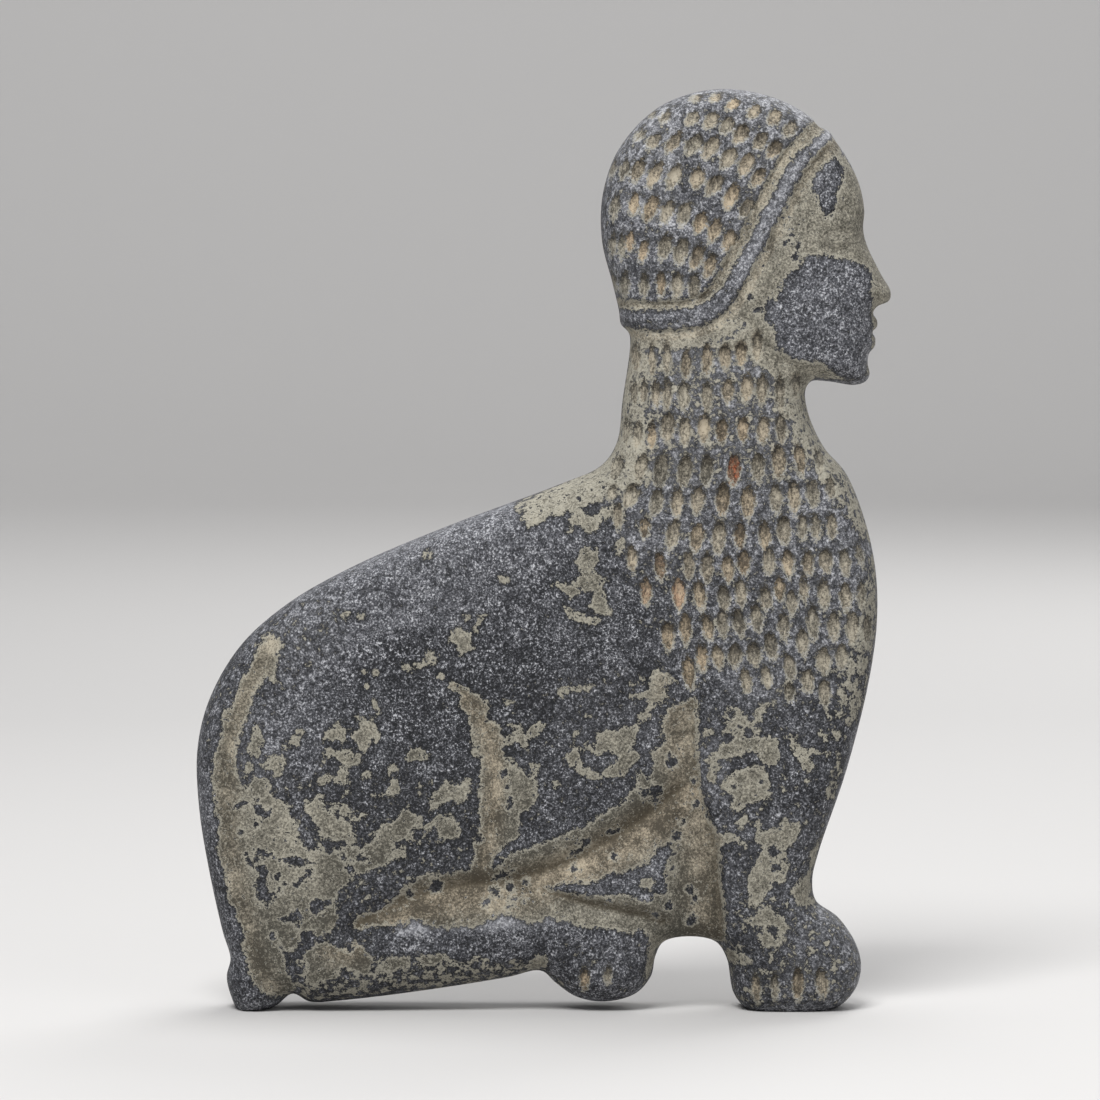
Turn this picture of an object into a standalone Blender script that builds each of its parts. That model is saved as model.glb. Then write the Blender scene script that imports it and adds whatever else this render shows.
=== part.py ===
"""Stone relief plaque: a seated sphinx with a banded cap, carved in one slab of dark chlorite.

Blender 4.5, metres, +Z up. The figure faces +X and its carved side faces -Y. The origin is on the
floor, at the middle of the plaque's bounding box.

The plaque is a pillow over a drawn outline: its height above the mid-plane grows with the distance from
the outline, and the carving is taken off that height. The outline and the broad strokes are in 240ths
of the plaque's height, so they read as millimetres at its real size. The gouges and the cap's band are in
the squares of a drawing of the near face.
"""

import math
from dataclasses import dataclass

import bpy
import numpy as np
from mathutils import Vector
from mathutils.geometry import delaunay_2d_cdt

# Driving sizes, in metres
HEIGHT = 0.240
THICKNESS = 0.032
EDGE_ROUNDING = 0.0066
SWELL_HEIGHT = 0.0014

# The two grooves beside the band's roll, by their distance from its middle, towards the cap positive: the
# brink, where each falls steeply, its bottom, and the foot, where it has run out
CAP_GROOVE = (0.0053, 0.0047, 0.0010)
NECK_GROOVE = (-0.0019, -0.0029, -0.0080)
GROOVE_DEPTH = 0.0012
NECK_DROP = 0.0009
NECK_FADE = 0.021

# A gouge's depth as a share of its width, how much deeper and wider it is at its head, and its roundness
GOUGE_DEPTH_SHARE = 0.34
GOUGE_HEAD_DEPTH = 0.45
GOUGE_HEAD_WIDTH = 0.14
GOUGE_OUTLINE_POWER = 1.9
GOUGE_BOWL_POWER = 0.7

BACK_CARVING_SHARE = 0.6

# How finely the surface is divided, in metres
OUTLINE_STEP = 0.00025
OUTLINE_BEND_ERROR = 0.00007
OUTLINE_LONGEST_EDGE = 0.0055
STROKE_SPACING = 0.0038
GROOVE_SPACING = 0.0013
FACE_SPACING = 0.0016
FILL_SPACING = 0.0085
SAMPLES_PER_SPACING = 3
RIM_ROOM = 0.0004
RIM_CLEARANCE = 0.0002
STROKE_CLEARANCE = 0.0007

# Rings inside the outline: how deep each lies, as a share of the edge's rounding. The first three are the
# rim, and the others guide the triangles inside it, with their points at least this far apart.
RIM_DEPTHS = (0.04, 0.17, 0.40)
INNER_DEPTHS = (0.92, 1.6)
INNER_ROOM = (0.0027, 0.0036)

# The least distance between two of the surface's points, as a share of what they draw
STROKE_ROOM_SHARE = 0.42
GROOVE_ROOM = 0.0005
GOUGE_ROOM_SHARE = 0.23
FILL_ROOM_SHARE = 0.55
BACK_SPACING_SHARE = 1.5

# Walking inwards from the outline
WALK_STEPS = 12
WALK_LONGEST_STEP = 0.0006
WALK_NUDGE = 0.00002
WALK_LEAST_SLOPE = 0.2

GRID = HEIGHT / 240.0

# The near face is closer to the eye than the outline, and is seen from a little above. A square of its
# drawing is this much of a 240th across and up, and this square lies at x = 0 and z = 0. The strokes' lines
# are drawn in 240ths at the outline's depth, and are brought to the near face by a scale and a lift.
SQUARE = (0.25886, -0.25934)
SQUARE_AT_ZERO = (541.94, 1015.0)
NEAR_SCALE = (0.9923, 0.9941)
NEAR_LIFT = (0.0, 1.43)

# The outline, clockwise from under the tail's foot: (x, z) in 240ths of the height.
# It runs below the floor under the two feet, where the floor cuts it flat.
TAIL_AND_RUMP = (
    (-76, -2), (-79.5, -0.5), (-81.5, 3.5), (-82.5, 8.2), (-81.5, 13), (-83.5, 20), (-87, 36),
    (-89.6, 52.5), (-90, 68), (-86.8, 81), (-78.6, 95), (-66.2, 106), (-49.5, 115.5),
)
BACK_AND_NAPE = ((-25, 126), (4.5, 137), (15.5, 142), (19.5, 148), (21, 159), (23, 174))
CAP = (
    (22.6, 176.6), (20.6, 178.8), (20, 182.6), (18.4, 189.3), (15.6, 200.8), (15.9, 213), (20.4, 225),
    (31, 235.6), (45.4, 239.9), (59.5, 238), (69.4, 233), (72, 230.2), (74.6, 229), (76.2, 226.6),
)
THROAT = ((74, 164), (70, 163.9), (68.6, 161.6), (69.4, 155.5), (73.5, 146.7))
CHEST_AND_FORELEG = (
    (79.2, 140), (84.4, 127), (87.1, 114), (87.4, 101), (85.3, 85.5), (79.4, 62), (72.5, 41.6),
    (70.7, 33.8), (71.7, 28),
)
FRONT_PAW = (
    (77.6, 23.5), (82.2, 16.5), (83.5, 10.4), (81.4, 4), (75.6, -0.7), (64.7, -2.5), (54.8, -1),
    (50.3, 3.5), (48.3, 13),
)
ARCH = ((45.4, 17.4), (38.6, 18.8), (31.8, 17.4), (29.7, 13.7))
HIND_PAW = ((28.6, 8.5), (24.5, 3.8), (16.2, 1.7), (8.9, 3), (3.6, 6.6), (-0.3, 9.8))
BELLY = ((-9, 8.1), (-29, 4.9), (-52.5, 2), (-60.8, 1.7), (-65.2, 3.8), (-69.4, 0.7))

# The face's profile is a plain canon of thirds: brow, base of the nose and chin at one, two and three
# thirds of the face's height. Each pair is the share down the face and the share forward of the hairline.
FACE_TOP = (76.5, 225.3)
FACE_LENGTH = 62.3
FACE_PROFILE = (
    (0.05, 0.044), (0.16, 0.096), (0.27, 0.118), (0.345, 0.113), (0.41, 0.127), (0.54, 0.190),
    (0.61, 0.229), (0.648, 0.222), (0.672, 0.172), (0.70, 0.155), (0.728, 0.172), (0.757, 0.172),
    (0.778, 0.152), (0.803, 0.165), (0.837, 0.163), (0.87, 0.138), (0.912, 0.134), (0.954, 0.142),
    (0.985, 0.125), (1.0, 0.08),
)


@dataclass(frozen=True)
class Cut:
    """A carved stroke: its line in 240ths, and its depth and widths in metres.

    The depth and each width are stated at even stations from the line's start to its end. The left and
    the right width are those of the slopes on each side of the line of travel.
    """

    line: tuple
    depth: tuple
    left: tuple
    right: tuple
    on_back: bool = False


@dataclass(frozen=True)
class Gouge:
    """A short round-bottomed cut: its middle and its way up, and its length and width in metres."""

    middle: np.ndarray
    up: np.ndarray
    length: float
    width: float

    def spot(self, u, v):
        """The place at a share of the way across and a share of the way up, 1 at the rim."""
        across = np.array((self.up[1], -self.up[0]))
        return self.middle + across * (0.5 * self.width * u) + self.up * (0.5 * self.length * v)

    def depths(self, points):
        """How deep the gouge goes at each point."""
        gap = points - self.middle
        v = gap @ self.up / (0.5 * self.length)
        flare = 1.0 + GOUGE_HEAD_WIDTH * np.clip(v, -1.0, 1.0)
        u = (gap[:, 0] * self.up[1] - gap[:, 1] * self.up[0]) / (0.5 * self.width * flare)
        power = GOUGE_OUTLINE_POWER
        reach = (np.abs(u) ** power + np.abs(v) ** power) ** (1.0 / power)
        bowl = np.clip(1.0 - reach**2, 0.0, 1.0) ** GOUGE_BOWL_POWER
        return GOUGE_DEPTH_SHARE * self.width * bowl * (1.0 + GOUGE_HEAD_DEPTH * v)


TAIL = Cut(
    ((-70, 98), (-74, 90), (-78.4, 80), (-81, 71.3), (-82.4, 61.2), (-82.4, 48), (-81.1, 37.7),
     (-78.9, 27.8), (-76.9, 19.4), (-74.4, 10.8), (-71.6, 5)),
    depth=(0.0008, 0.0013, 0.0015), left=(0.0034, 0.0042), right=(0.0020, 0.0024), on_back=True,
)
HAUNCH = Cut(
    ((-24, 84.4), (-18.8, 79.4), (-14.3, 73), (-12.5, 63.8), (-12.8, 52), (-14.1, 43), (-15.7, 36)),
    depth=(0.0005, 0.0009, 0.0009), left=(0.0026, 0.0034), right=(0.0022, 0.0026),
)
THIGH = Cut(
    ((-51, 20), (-37, 27.8), (-21.4, 32), (-5.5, 34), (10.4, 39.8), (26.1, 49.2), (35.7, 57)),
    depth=(0.0014, 0.0026, 0.0032, 0.0034), left=(0.0050, 0.0064), right=(0.0090, 0.0090, 0.0070),
    on_back=True,
)
SHIN = Cut(
    ((0.8, 31.2), (10.4, 27.8), (19.8, 25.6), (27.4, 24), (31.5, 22.4)),
    depth=(0.0014, 0.0028), left=(0.0022, 0.0032), right=(0.0060, 0.0060),
)
BELLY_HOLLOW = Cut(
    ((36, 50), (36.6, 40), (37.4, 30), (38, 21)),
    depth=(0.0030, 0.0042, 0.0046), left=(0.0085, 0.0095), right=(0.0080, 0.0070), on_back=True,
)
FORELEG = Cut(
    ((39.2, 84), (39.3, 74), (40, 64), (41.6, 55), (44, 46.5), (45.2, 40), (46, 30), (46.8, 20),
     (47, 12)),
    depth=(0.0004, 0.0018, 0.0034, 0.0042, 0.0046), left=(0.0018, 0.0024, 0.0026),
    right=(0.0075, 0.0090, 0.0080), on_back=True,
)
JAW = Cut(
    ((53.5, 180), (59.5, 172.6), (66, 167.4), (72.6, 164.4)),
    depth=(0.0008, 0.0022), left=(0.0018, 0.0026), right=(0.0110, 0.0100), on_back=True,
)
CUTS = (TAIL, HAUNCH, THIGH, SHIN, FORELEG, BELLY_HOLLOW, JAW)

# The face's strokes, in shares of the face's length: down from the hairline, and forward of it.
FINE_DEPTH = 0.0006
FINE_WIDTH = 0.0011
FACE_LINES = (
    ((0.30, -0.065), (0.265, 0.0), (0.285, 0.06), (0.325, 0.095)),
    ((0.40, -0.075), (0.36, -0.03), (0.355, 0.025), (0.385, 0.075)),
    ((0.40, -0.075), (0.432, -0.03), (0.428, 0.025), (0.385, 0.075)),
    ((0.655, 0.20), (0.625, 0.145), (0.645, 0.115), (0.67, 0.12)),
    ((0.779, 0.15), (0.783, 0.11), (0.773, 0.075)),
)

# The band round the cap, along the middle of its roll, from the nape to the brow, in squares.
BAND_SHARE_OVER_NECK = 0.6
BAND = (
    (608, 317), (622, 319), (640, 320), (660, 320), (680, 319), (699, 315.5), (713, 308.5), (724, 297.5),
    (733, 284), (744.5, 262.5), (756, 243), (765.5, 223), (776.5, 203.5), (787, 183), (797.5, 165),
    (809, 152), (820, 142), (834, 131),
)

# The gouges, row by row: x and y of the middle, the lean in degrees, the length and the width. Lengths and
# places are in squares.
CAP_GOUGES = (
    (716, 98, 70, 14, 7), (697, 99, 75, 12, 6), (733, 105, 60, 16, 9), (754, 112, 55, 17, 10),
    (774, 118, 45, 18, 12), (790, 129, 45, 19, 12), (652, 113, 50, 12, 8), (666, 117, 45, 15, 8),
    (692, 119, 45, 17, 11), (711, 121, 45, 20, 12), (727, 126, 38, 20, 12), (741, 134, 35, 22, 14),
    (760, 141, 35, 20, 13), (774, 149, 38, 21, 13), (640, 135, 40, 14, 7), (654, 141, 40, 20, 11),
    (674, 142, 36, 26, 11), (693, 145, 36, 25, 14), (711, 147, 34, 27, 14), (728, 158, 34, 24, 14),
    (746, 164, 30, 26, 14), (758, 177, 34, 22, 12), (613, 168, 15, 18, 6), (625, 169, 20, 20, 9),
    (638, 170, 26, 26, 12), (655, 174, 28, 29, 12), (674, 176, 26, 27, 13), (697, 178, 14, 23, 14),
    (714, 185, 38, 24, 14), (731, 196, 24, 27, 13), (746, 208, 32, 22, 12), (615, 206, 8, 24, 9),
    (634, 203, 12, 23, 10), (651, 208, 25, 28, 13), (667, 211, 22, 25, 12), (684, 213, 18, 24, 12),
    (700, 222, 22, 24, 12), (714, 230, 20, 24, 12), (729, 240, 22, 22, 13), (613, 243, 3, 22, 7),
    (622, 245, 3, 24, 7), (630, 241, 7, 22, 9), (643, 250, 8, 23, 9), (665, 246, 16, 27, 13),
    (681, 251, 14, 27, 14), (697, 256, 20, 27, 12), (710, 265, 18, 24, 12), (613, 283, 0, 24, 7),
    (625, 284, 2, 26, 9), (644, 284, 2, 25, 9), (661, 283, 2, 25, 9), (677, 284, 4, 27, 12),
    (694, 285, 5, 27, 11),
)
NECK_GOUGES = (
    (636, 358, 0, 28, 9), (652, 361, 0, 33, 8), (667, 358, 0, 30, 8), (686, 364, 0, 30, 11),
    (707, 359, 0, 31, 11), (725, 356, 0, 25, 12), (741, 353, 0, 24, 12), (757, 346, 0, 30, 10),
    (634, 393, 0, 22, 8), (644, 391, 0, 22, 8), (656, 393, 0, 28, 9), (667, 394, 0, 30, 9),
    (684, 395, 0, 29, 12), (707, 396, 0, 30, 11), (728, 390, 4, 24, 12), (747, 387, 5, 28, 12),
    (762, 388, 3, 30, 12), (780, 394, -2, 36, 10), (796, 386, 0, 24, 9), (627, 432, 8, 28, 8),
    (638, 435, 3, 27, 10), (652, 434, 3, 28, 9), (668, 426, 5, 30, 14), (685, 430, 2, 29, 12),
    (704, 427, 3, 30, 12), (722, 430, 2, 26, 12), (743, 428, 2, 26, 11), (763, 429, 3, 28, 13),
    (781, 428, -2, 30, 11), (617, 468, 22, 26, 12), (641, 467, 16, 28, 13), (661, 470, 8, 36, 14),
    (685, 470, 9, 33, 14), (707, 469, 3, 31, 13), (734, 468, 2, 31, 13), (758, 466, 0, 30, 13),
    (779, 461, -2, 34, 14), (800, 459, -6, 30, 11), (820, 461, -8, 24, 9), (612, 492, 25, 16, 10),
    (631, 495, 28, 26, 15), (657, 500, 12, 29, 13), (677, 502, 4, 32, 12), (698, 499, 10, 29, 14),
    (723, 498, 3, 34, 14), (748, 501, 0, 34, 14), (776, 497, -2, 30, 12), (794, 495, -3, 32, 12),
    (813, 492, -4, 28, 13), (831, 488, -6, 22, 9), (618, 515, 0, 26, 9), (645, 526, 0, 22, 10),
    (673, 533, 12, 31, 13), (697, 536, 10, 30, 13), (719, 536, 5, 33, 14), (740, 534, 2, 28, 11),
    (765, 534, -2, 29, 12), (784, 529, -3, 30, 14), (803, 526, 0, 26, 9), (816, 525, -2, 26, 10),
    (832, 525, -4, 26, 11), (632, 557, -4, 27, 10), (660, 564, -3, 29, 11), (689, 564, 0, 28, 11),
    (707, 566, 0, 30, 12), (728, 567, -4, 28, 12), (744, 561, -2, 26, 13), (769, 560, 0, 28, 12),
    (788, 561, -5, 28, 12), (808, 562, -2, 24, 11), (826, 560, -4, 24, 14), (845, 561, -8, 28, 11),
    (860, 553, -14, 22, 7), (646, 590, -2, 28, 11), (679, 592, 0, 32, 13), (700, 594, -6, 30, 12),
    (724, 597, -4, 28, 12), (741, 591, -4, 28, 11), (766, 597, -8, 24, 12), (780, 587, -2, 24, 11),
    (792, 601, -5, 26, 11), (804, 587, -2, 26, 9), (824, 593, -3, 30, 12), (846, 596, -4, 30, 12),
    (862, 594, -3, 28, 9), (668, 634, -4, 28, 13), (686, 627, -3, 31, 12), (708, 626, -12, 27, 12),
    (723, 622, -6, 28, 11), (739, 621, -12, 28, 12), (757, 616, -8, 27, 12), (784, 625, -4, 28, 11),
    (813, 621, -3, 34, 12), (834, 625, -2, 30, 12), (853, 627, -3, 33, 13), (868, 630, -3, 30, 9),
    (702, 656, -4, 29, 11), (718, 655, -10, 24, 12), (735, 654, -2, 24, 13), (754, 653, -10, 24, 14),
    (771, 645, -10, 27, 13), (790, 666, -10, 27, 12), (803, 641, -3, 28, 12), (824, 660, -3, 28, 14),
    (842, 656, -4, 26, 12), (689, 671, -6, 32, 12), (746, 679, -12, 24, 11), (767, 676, -10, 23, 10),
    (790, 691, -6, 18, 11), (808, 680, -3, 26, 12), (825, 692, -3, 28, 12),
)
TOE_GOUGES = (
    (757, 989, -5, 28, 9), (776, 987, -2, 25, 8), (799, 985, 0, 33, 12), (823, 984, -8, 30, 12),
    (585, 980, 4, 24, 10), (608, 976, 2, 20, 8),
)

# Broad swells of the body, in 240ths: centre x, centre z, reach.
SWELLS = ((-45, 55, 34), (28, 104, 30), (66, 60, 22), (40, 208, 28), (72, 188, 18))

STONE_COLOUR = (0.085, 0.09, 0.105, 1.0)
STONE_ROUGHNESS = 0.72


def clear_scene():
    for obj in list(bpy.data.objects):
        bpy.data.objects.remove(obj, do_unlink=True)


def metres(points):
    return np.array(points, dtype=float) * GRID


def on_near_face(squares):
    """Points of the near face's drawing, in metres."""
    return (np.array(squares, dtype=float) - SQUARE_AT_ZERO) * SQUARE * GRID


def face_points(shares):
    """Points of the face, given as shares of its length, in 240ths of the height."""
    top_x, top_z = FACE_TOP
    return tuple((top_x + FACE_LENGTH * forward, top_z - FACE_LENGTH * down) for down, forward in shares)


def spline(points, step, closed):
    """Samples a centripetal Catmull-Rom curve through points, about one step apart."""
    count = len(points)
    if closed:
        wheel = np.vstack([points[-1:], points, points[:2]])
    else:
        first = 2.0 * points[0] - points[1]
        last = 2.0 * points[-1] - points[-2]
        wheel = np.vstack([first, points, last])
    samples = []
    for index in range(count if closed else count - 1):
        p0, p1, p2, p3 = wheel[index:index + 4]
        t0 = 0.0
        t1 = t0 + math.sqrt(np.linalg.norm(p1 - p0))
        t2 = t1 + math.sqrt(np.linalg.norm(p2 - p1))
        t3 = t2 + math.sqrt(np.linalg.norm(p3 - p2))
        pieces = max(2, int(np.linalg.norm(p2 - p1) / step))
        t = np.linspace(t1, t2, pieces, endpoint=False)[:, None]
        a1 = (t1 - t) / (t1 - t0) * p0 + (t - t0) / (t1 - t0) * p1
        a2 = (t2 - t) / (t2 - t1) * p1 + (t - t1) / (t2 - t1) * p2
        a3 = (t3 - t) / (t3 - t2) * p2 + (t - t2) / (t3 - t2) * p3
        b1 = (t2 - t) / (t2 - t0) * a1 + (t - t0) / (t2 - t0) * a2
        b2 = (t3 - t) / (t3 - t1) * a2 + (t - t1) / (t3 - t1) * a3
        samples.append((t2 - t) / (t2 - t1) * b1 + (t - t1) / (t2 - t1) * b2)
    if not closed:
        samples.append(points[-1:])
    return np.vstack(samples)


def thinned(samples, bend_error, longest):
    """Keeps the samples that a closed curve needs: close where it bends, apart where it runs straight."""
    kept = [0]
    for index in range(2, len(samples)):
        start = samples[kept[-1]]
        chord = samples[index] - start
        length = np.linalg.norm(chord)
        between = samples[kept[-1] + 1:index] - start
        away = np.abs(between[:, 0] * chord[1] - between[:, 1] * chord[0]) / max(length, 1e-9)
        if away.max() > bend_error or length > longest:
            kept.append(index - 1)
    return samples[kept]


def figure_outline():
    """The whole outline in metres, with its middle at x = 0, and the shift that put it there."""
    points = metres(
        TAIL_AND_RUMP + BACK_AND_NAPE + CAP + face_points(FACE_PROFILE) + THROAT + CHEST_AND_FORELEG
        + FRONT_PAW + ARCH + HIND_PAW + BELLY
    )
    samples = spline(points, OUTLINE_STEP, closed=True)
    shift = -0.5 * (samples[:, 0].min() + samples[:, 0].max())
    outline = thinned(samples, OUTLINE_BEND_ERROR, OUTLINE_LONGEST_EDGE)
    return outline + (shift, 0.0), shift


def soft_distance(points, outline):
    """A smooth distance from points to the outline: exact near an edge, with no crease between edges."""
    starts = outline
    along = np.roll(outline, -1, axis=0) - starts
    lengths = np.linalg.norm(along, axis=1)
    along = along / lengths[:, None]
    rel = points[:, None, :] - starts[None, :, :]
    u0 = -(rel * along).sum(axis=2)
    off = np.abs(rel[:, :, 0] * along[:, 1] - rel[:, :, 1] * along[:, 0])
    off = np.maximum(off, 1e-6)
    u1 = u0 + lengths

    def integral(u):
        return u / (2 * off**2 * (off**2 + u**2)) + np.arctan(u / off) / (2 * off**3)

    total = (integral(u1) - integral(u0)).sum(axis=1)
    return (2.0 / math.pi * total) ** (-1.0 / 3.0)


def smooth_fall(share):
    """1 at 0, falling smoothly to 0 at 1 and beyond."""
    inside = np.clip(1.0 - share**2, 0.0, 1.0)
    return inside**2


def valley_fall(share):
    """1 at 0, with a crease there, running out to 0 at 1 and beyond."""
    near = np.clip(share, 0.0, 1.0)
    return (1.0 - near) ** 2 * (1.0 + 0.8 * near)


def eased(value, low, high):
    """0 up to low and 1 from high on, with a smooth climb between them."""
    share = np.clip((value - low) / (high - low), 0.0, 1.0)
    return share**2 * (3.0 - 2.0 * share)


def to_line(points, line):
    """The points' signed distances to the line, left positive, and how far along it each is, 0 to 1."""
    starts = line[:-1]
    spans = line[1:] - starts
    lengths = np.linalg.norm(spans, axis=1)
    rel = points[:, None, :] - starts[None, :, :]
    share = np.clip((rel * spans).sum(axis=2) / lengths**2, 0.0, 1.0)
    gap = rel - share[:, :, None] * spans
    distance = np.linalg.norm(gap, axis=2)
    nearest = distance.argmin(axis=1)
    rows = np.arange(len(points))
    side = spans[nearest, 0] * rel[rows, nearest, 1] - spans[nearest, 1] * rel[rows, nearest, 0]
    run = np.concatenate([[0.0], np.cumsum(lengths)])
    travelled = (run[nearest] + share[rows, nearest] * lengths[nearest]) / run[-1]
    return np.where(side < 0, -1.0, 1.0) * distance[rows, nearest], travelled


def mixed(stations, share):
    """The value at a share of the way along a line, from values at even stations."""
    return np.interp(share, np.linspace(0.0, 1.0, len(stations)), stations)


class Relief:
    """The plaque's height above its mid-plane, front and back."""

    def __init__(self):
        self.outline, self.shift = figure_outline()
        self.band = self.line(on_near_face(BAND))
        self.cuts = [
            (cut, self.line(metres(np.array(cut.line) * NEAR_SCALE + NEAR_LIFT))) for cut in CUTS
        ]
        self.face_lines = [self.line(metres(face_points(shares))) for shares in FACE_LINES]
        self.gouges = [self.gouge(*row) for row in CAP_GOUGES + NECK_GOUGES + TOE_GOUGES]

    def line(self, points):
        return spline(points + (self.shift, 0.0), STROKE_SPACING / SAMPLES_PER_SPACING, closed=False)

    def gouge(self, x, y, lean, length, width):
        middle = on_near_face((x, y)) + (self.shift, 0.0)
        up = np.array((math.sin(math.radians(lean)), math.cos(math.radians(lean))))
        return Gouge(middle, up, length * SQUARE[0] * GRID, width * SQUARE[0] * GRID)

    def band_cut(self, points):
        """The two grooves beside the band's roll, and the neck that lies a little lower behind them.

        Each groove falls steeply from its brink, and runs out slowly to its foot.
        """
        away, travelled = to_line(points, self.band)
        total = np.zeros(len(points))
        for brink, bottom, foot in (CAP_GROOVE, NECK_GROOVE):
            wall = eased(-away, -brink, -bottom)
            ramp = valley_fall((bottom - away) / (bottom - foot))
            total = np.maximum(total, GROOVE_DEPTH * wall * np.where(away > bottom, 1.0, ramp))
        below = np.where(away < NECK_GROOVE[1], NECK_GROOVE[1] - away, 0.0)
        neck = smooth_fall(below / NECK_FADE) * (below > 0)
        neck = neck * smooth_fall(travelled / BAND_SHARE_OVER_NECK)
        return np.maximum(total, NECK_DROP * neck)

    def carving(self, points, back):
        """How much is carved off at each point. Strokes that cross blend, and don't add up."""
        total = self.band_cut(points) ** 3
        for cut, line in self.cuts:
            if back and not cut.on_back:
                continue
            away, travelled = to_line(points, line)
            width = np.where(away > 0, mixed(cut.left, travelled), mixed(cut.right, travelled))
            depth = mixed(cut.depth, travelled) * valley_fall(np.abs(away) / width)
            total += depth**3
        total = total ** (1.0 / 3.0)
        if back:
            return total * BACK_CARVING_SHARE
        for line in self.face_lines:
            away, _ = to_line(points, line)
            total = np.maximum(total, FINE_DEPTH * smooth_fall(np.abs(away) / FINE_WIDTH))
        deepest = np.max([gouge.depths(points) for gouge in self.gouges], axis=0)
        return total + deepest

    def swell(self, points):
        """The body's broad swells, 0 to 1."""
        flat = np.ones(len(points))
        for x, z, reach in SWELLS:
            centre = metres((x, z)) + (self.shift, 0.0)
            gap = np.linalg.norm(points - centre, axis=1) / (reach * GRID)
            flat = flat * (1.0 - np.exp(-gap**2))
        return 1.0 - flat

    def heights(self, points, back):
        """The height above the mid-plane at points inside the outline."""
        distance = soft_distance(points, self.outline)
        rise = np.sqrt(1.0 - np.exp(-2.0 * distance / EDGE_ROUNDING))
        full = 0.5 * THICKNESS - SWELL_HEIGHT * (1.0 - self.swell(points))
        return full * rise - self.carving(points, back) * rise**2


def inward(points, outline, target):
    """Moves points up the soft distance's slope until each is target away from the outline."""
    for _ in range(WALK_STEPS):
        here = soft_distance(points, outline)
        slope_x = (soft_distance(points + (WALK_NUDGE, 0.0), outline) - here) / WALK_NUDGE
        slope_z = (soft_distance(points + (0.0, WALK_NUDGE), outline) - here) / WALK_NUDGE
        slope = np.stack([slope_x, slope_z], axis=1)
        steep = np.maximum((slope**2).sum(axis=1), WALK_LEAST_SLOPE)
        step = np.clip(target - here, -WALK_LONGEST_STEP, WALK_LONGEST_STEP)
        points = points + slope * (step / steep)[:, None]
    return points


def inward_start(outline, distance):
    """Points just inside the outline's corners."""
    along = np.roll(outline, -1, axis=0) - np.roll(outline, 1, axis=0)
    along = along / np.linalg.norm(along, axis=1)[:, None]
    return outline + np.stack([along[:, 1], -along[:, 0]], axis=1) * distance


class Scatter:
    """Points for the surface: a new one is kept only where it has room."""

    def __init__(self, fixed, outline, margin):
        self.points = fixed
        self.outline = outline
        self.margin = margin

    def add(self, candidates, room, clearance=0.0):
        """Keeps the candidates that are clearance inside the margin and at least room from every point."""
        candidates = np.atleast_2d(candidates)
        candidates = candidates[inside(candidates, self.outline)]
        if not len(candidates):
            return
        candidates = candidates[soft_distance(candidates, self.outline) > self.margin + clearance]
        kept = []
        for candidate in candidates:
            near = np.hypot(*(self.points - candidate).T).min() < room
            if near or any(math.dist(candidate, other) < room for other in kept):
                continue
            kept.append(candidate)
        if kept:
            self.points = np.vstack([self.points, kept])


def inside(points, outline):
    """Whether each point is inside the closed outline."""
    ends = np.roll(outline, -1, axis=0)
    crossed = np.zeros(len(points), dtype=bool)
    for (x0, z0), (x1, z1) in zip(outline, ends):
        if z0 == z1:
            continue
        spans = (z0 > points[:, 1]) != (z1 > points[:, 1])
        crossed ^= spans & (points[:, 0] < x0 + (points[:, 1] - z0) * (x1 - x0) / (z1 - z0))
    return crossed


def beside(line, offset, spacing):
    """Points along a line, moved sideways by offset, left positive."""
    step = max(1, round(spacing * SAMPLES_PER_SPACING / STROKE_SPACING))
    along = np.gradient(line, axis=0)
    along = along / np.linalg.norm(along, axis=1)[:, None]
    moved = line + np.stack([-along[:, 1], along[:, 0]], axis=1) * np.reshape(offset, (-1, 1))
    return moved[::step]


def surface_points(relief, margin_loop, margin, back):
    """Where the surface's corners lie inside its rim, set by the carving."""
    scatter = Scatter(margin_loop, relief.outline, margin + RIM_CLEARANCE)
    coarser = BACK_SPACING_SHARE if back else 1.0
    spacing = STROKE_SPACING * coarser
    for brink, bottom, foot in (CAP_GROOVE, NECK_GROOVE):
        for offset in (brink, bottom):
            scatter.add(beside(relief.band, offset, GROOVE_SPACING * coarser), GROOVE_ROOM)
        scatter.add(beside(relief.band, foot, spacing), GROOVE_ROOM)
    if not back:
        add_gouges(scatter, relief.gouges)
        for line in relief.face_lines:
            for offset in (0.0, FINE_WIDTH, -FINE_WIDTH):
                scatter.add(beside(line, offset, FACE_SPACING), 0.5 * FACE_SPACING)
    for cut, line in relief.cuts:
        if cut.on_back or not back:
            add_cut(scatter, cut, line, spacing)
    for depth, room in zip(INNER_DEPTHS, INNER_ROOM):
        ring = inward(margin_loop, relief.outline, depth * EDGE_ROUNDING)
        scatter.add(ring, room * coarser)
    scatter.add(fill_grid(relief.outline, FILL_SPACING), FILL_ROOM_SHARE * FILL_SPACING)
    return scatter.points


def add_gouges(scatter, gouges):
    """Adds the rim and the bottom of each gouge, as shares across and up."""
    rim = ((0.0, 1.0), (0.9, 0.4), (0.9, -0.4), (0.0, -1.0), (-0.9, -0.4), (-0.9, 0.4))
    bottom = ((0.0, 0.4), (0.0, -0.4))
    for gouge in gouges:
        group = [gouge.spot(u, v) for u, v in rim + bottom]
        scatter.add(np.array(group), GOUGE_ROOM_SHARE * gouge.width)


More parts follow.
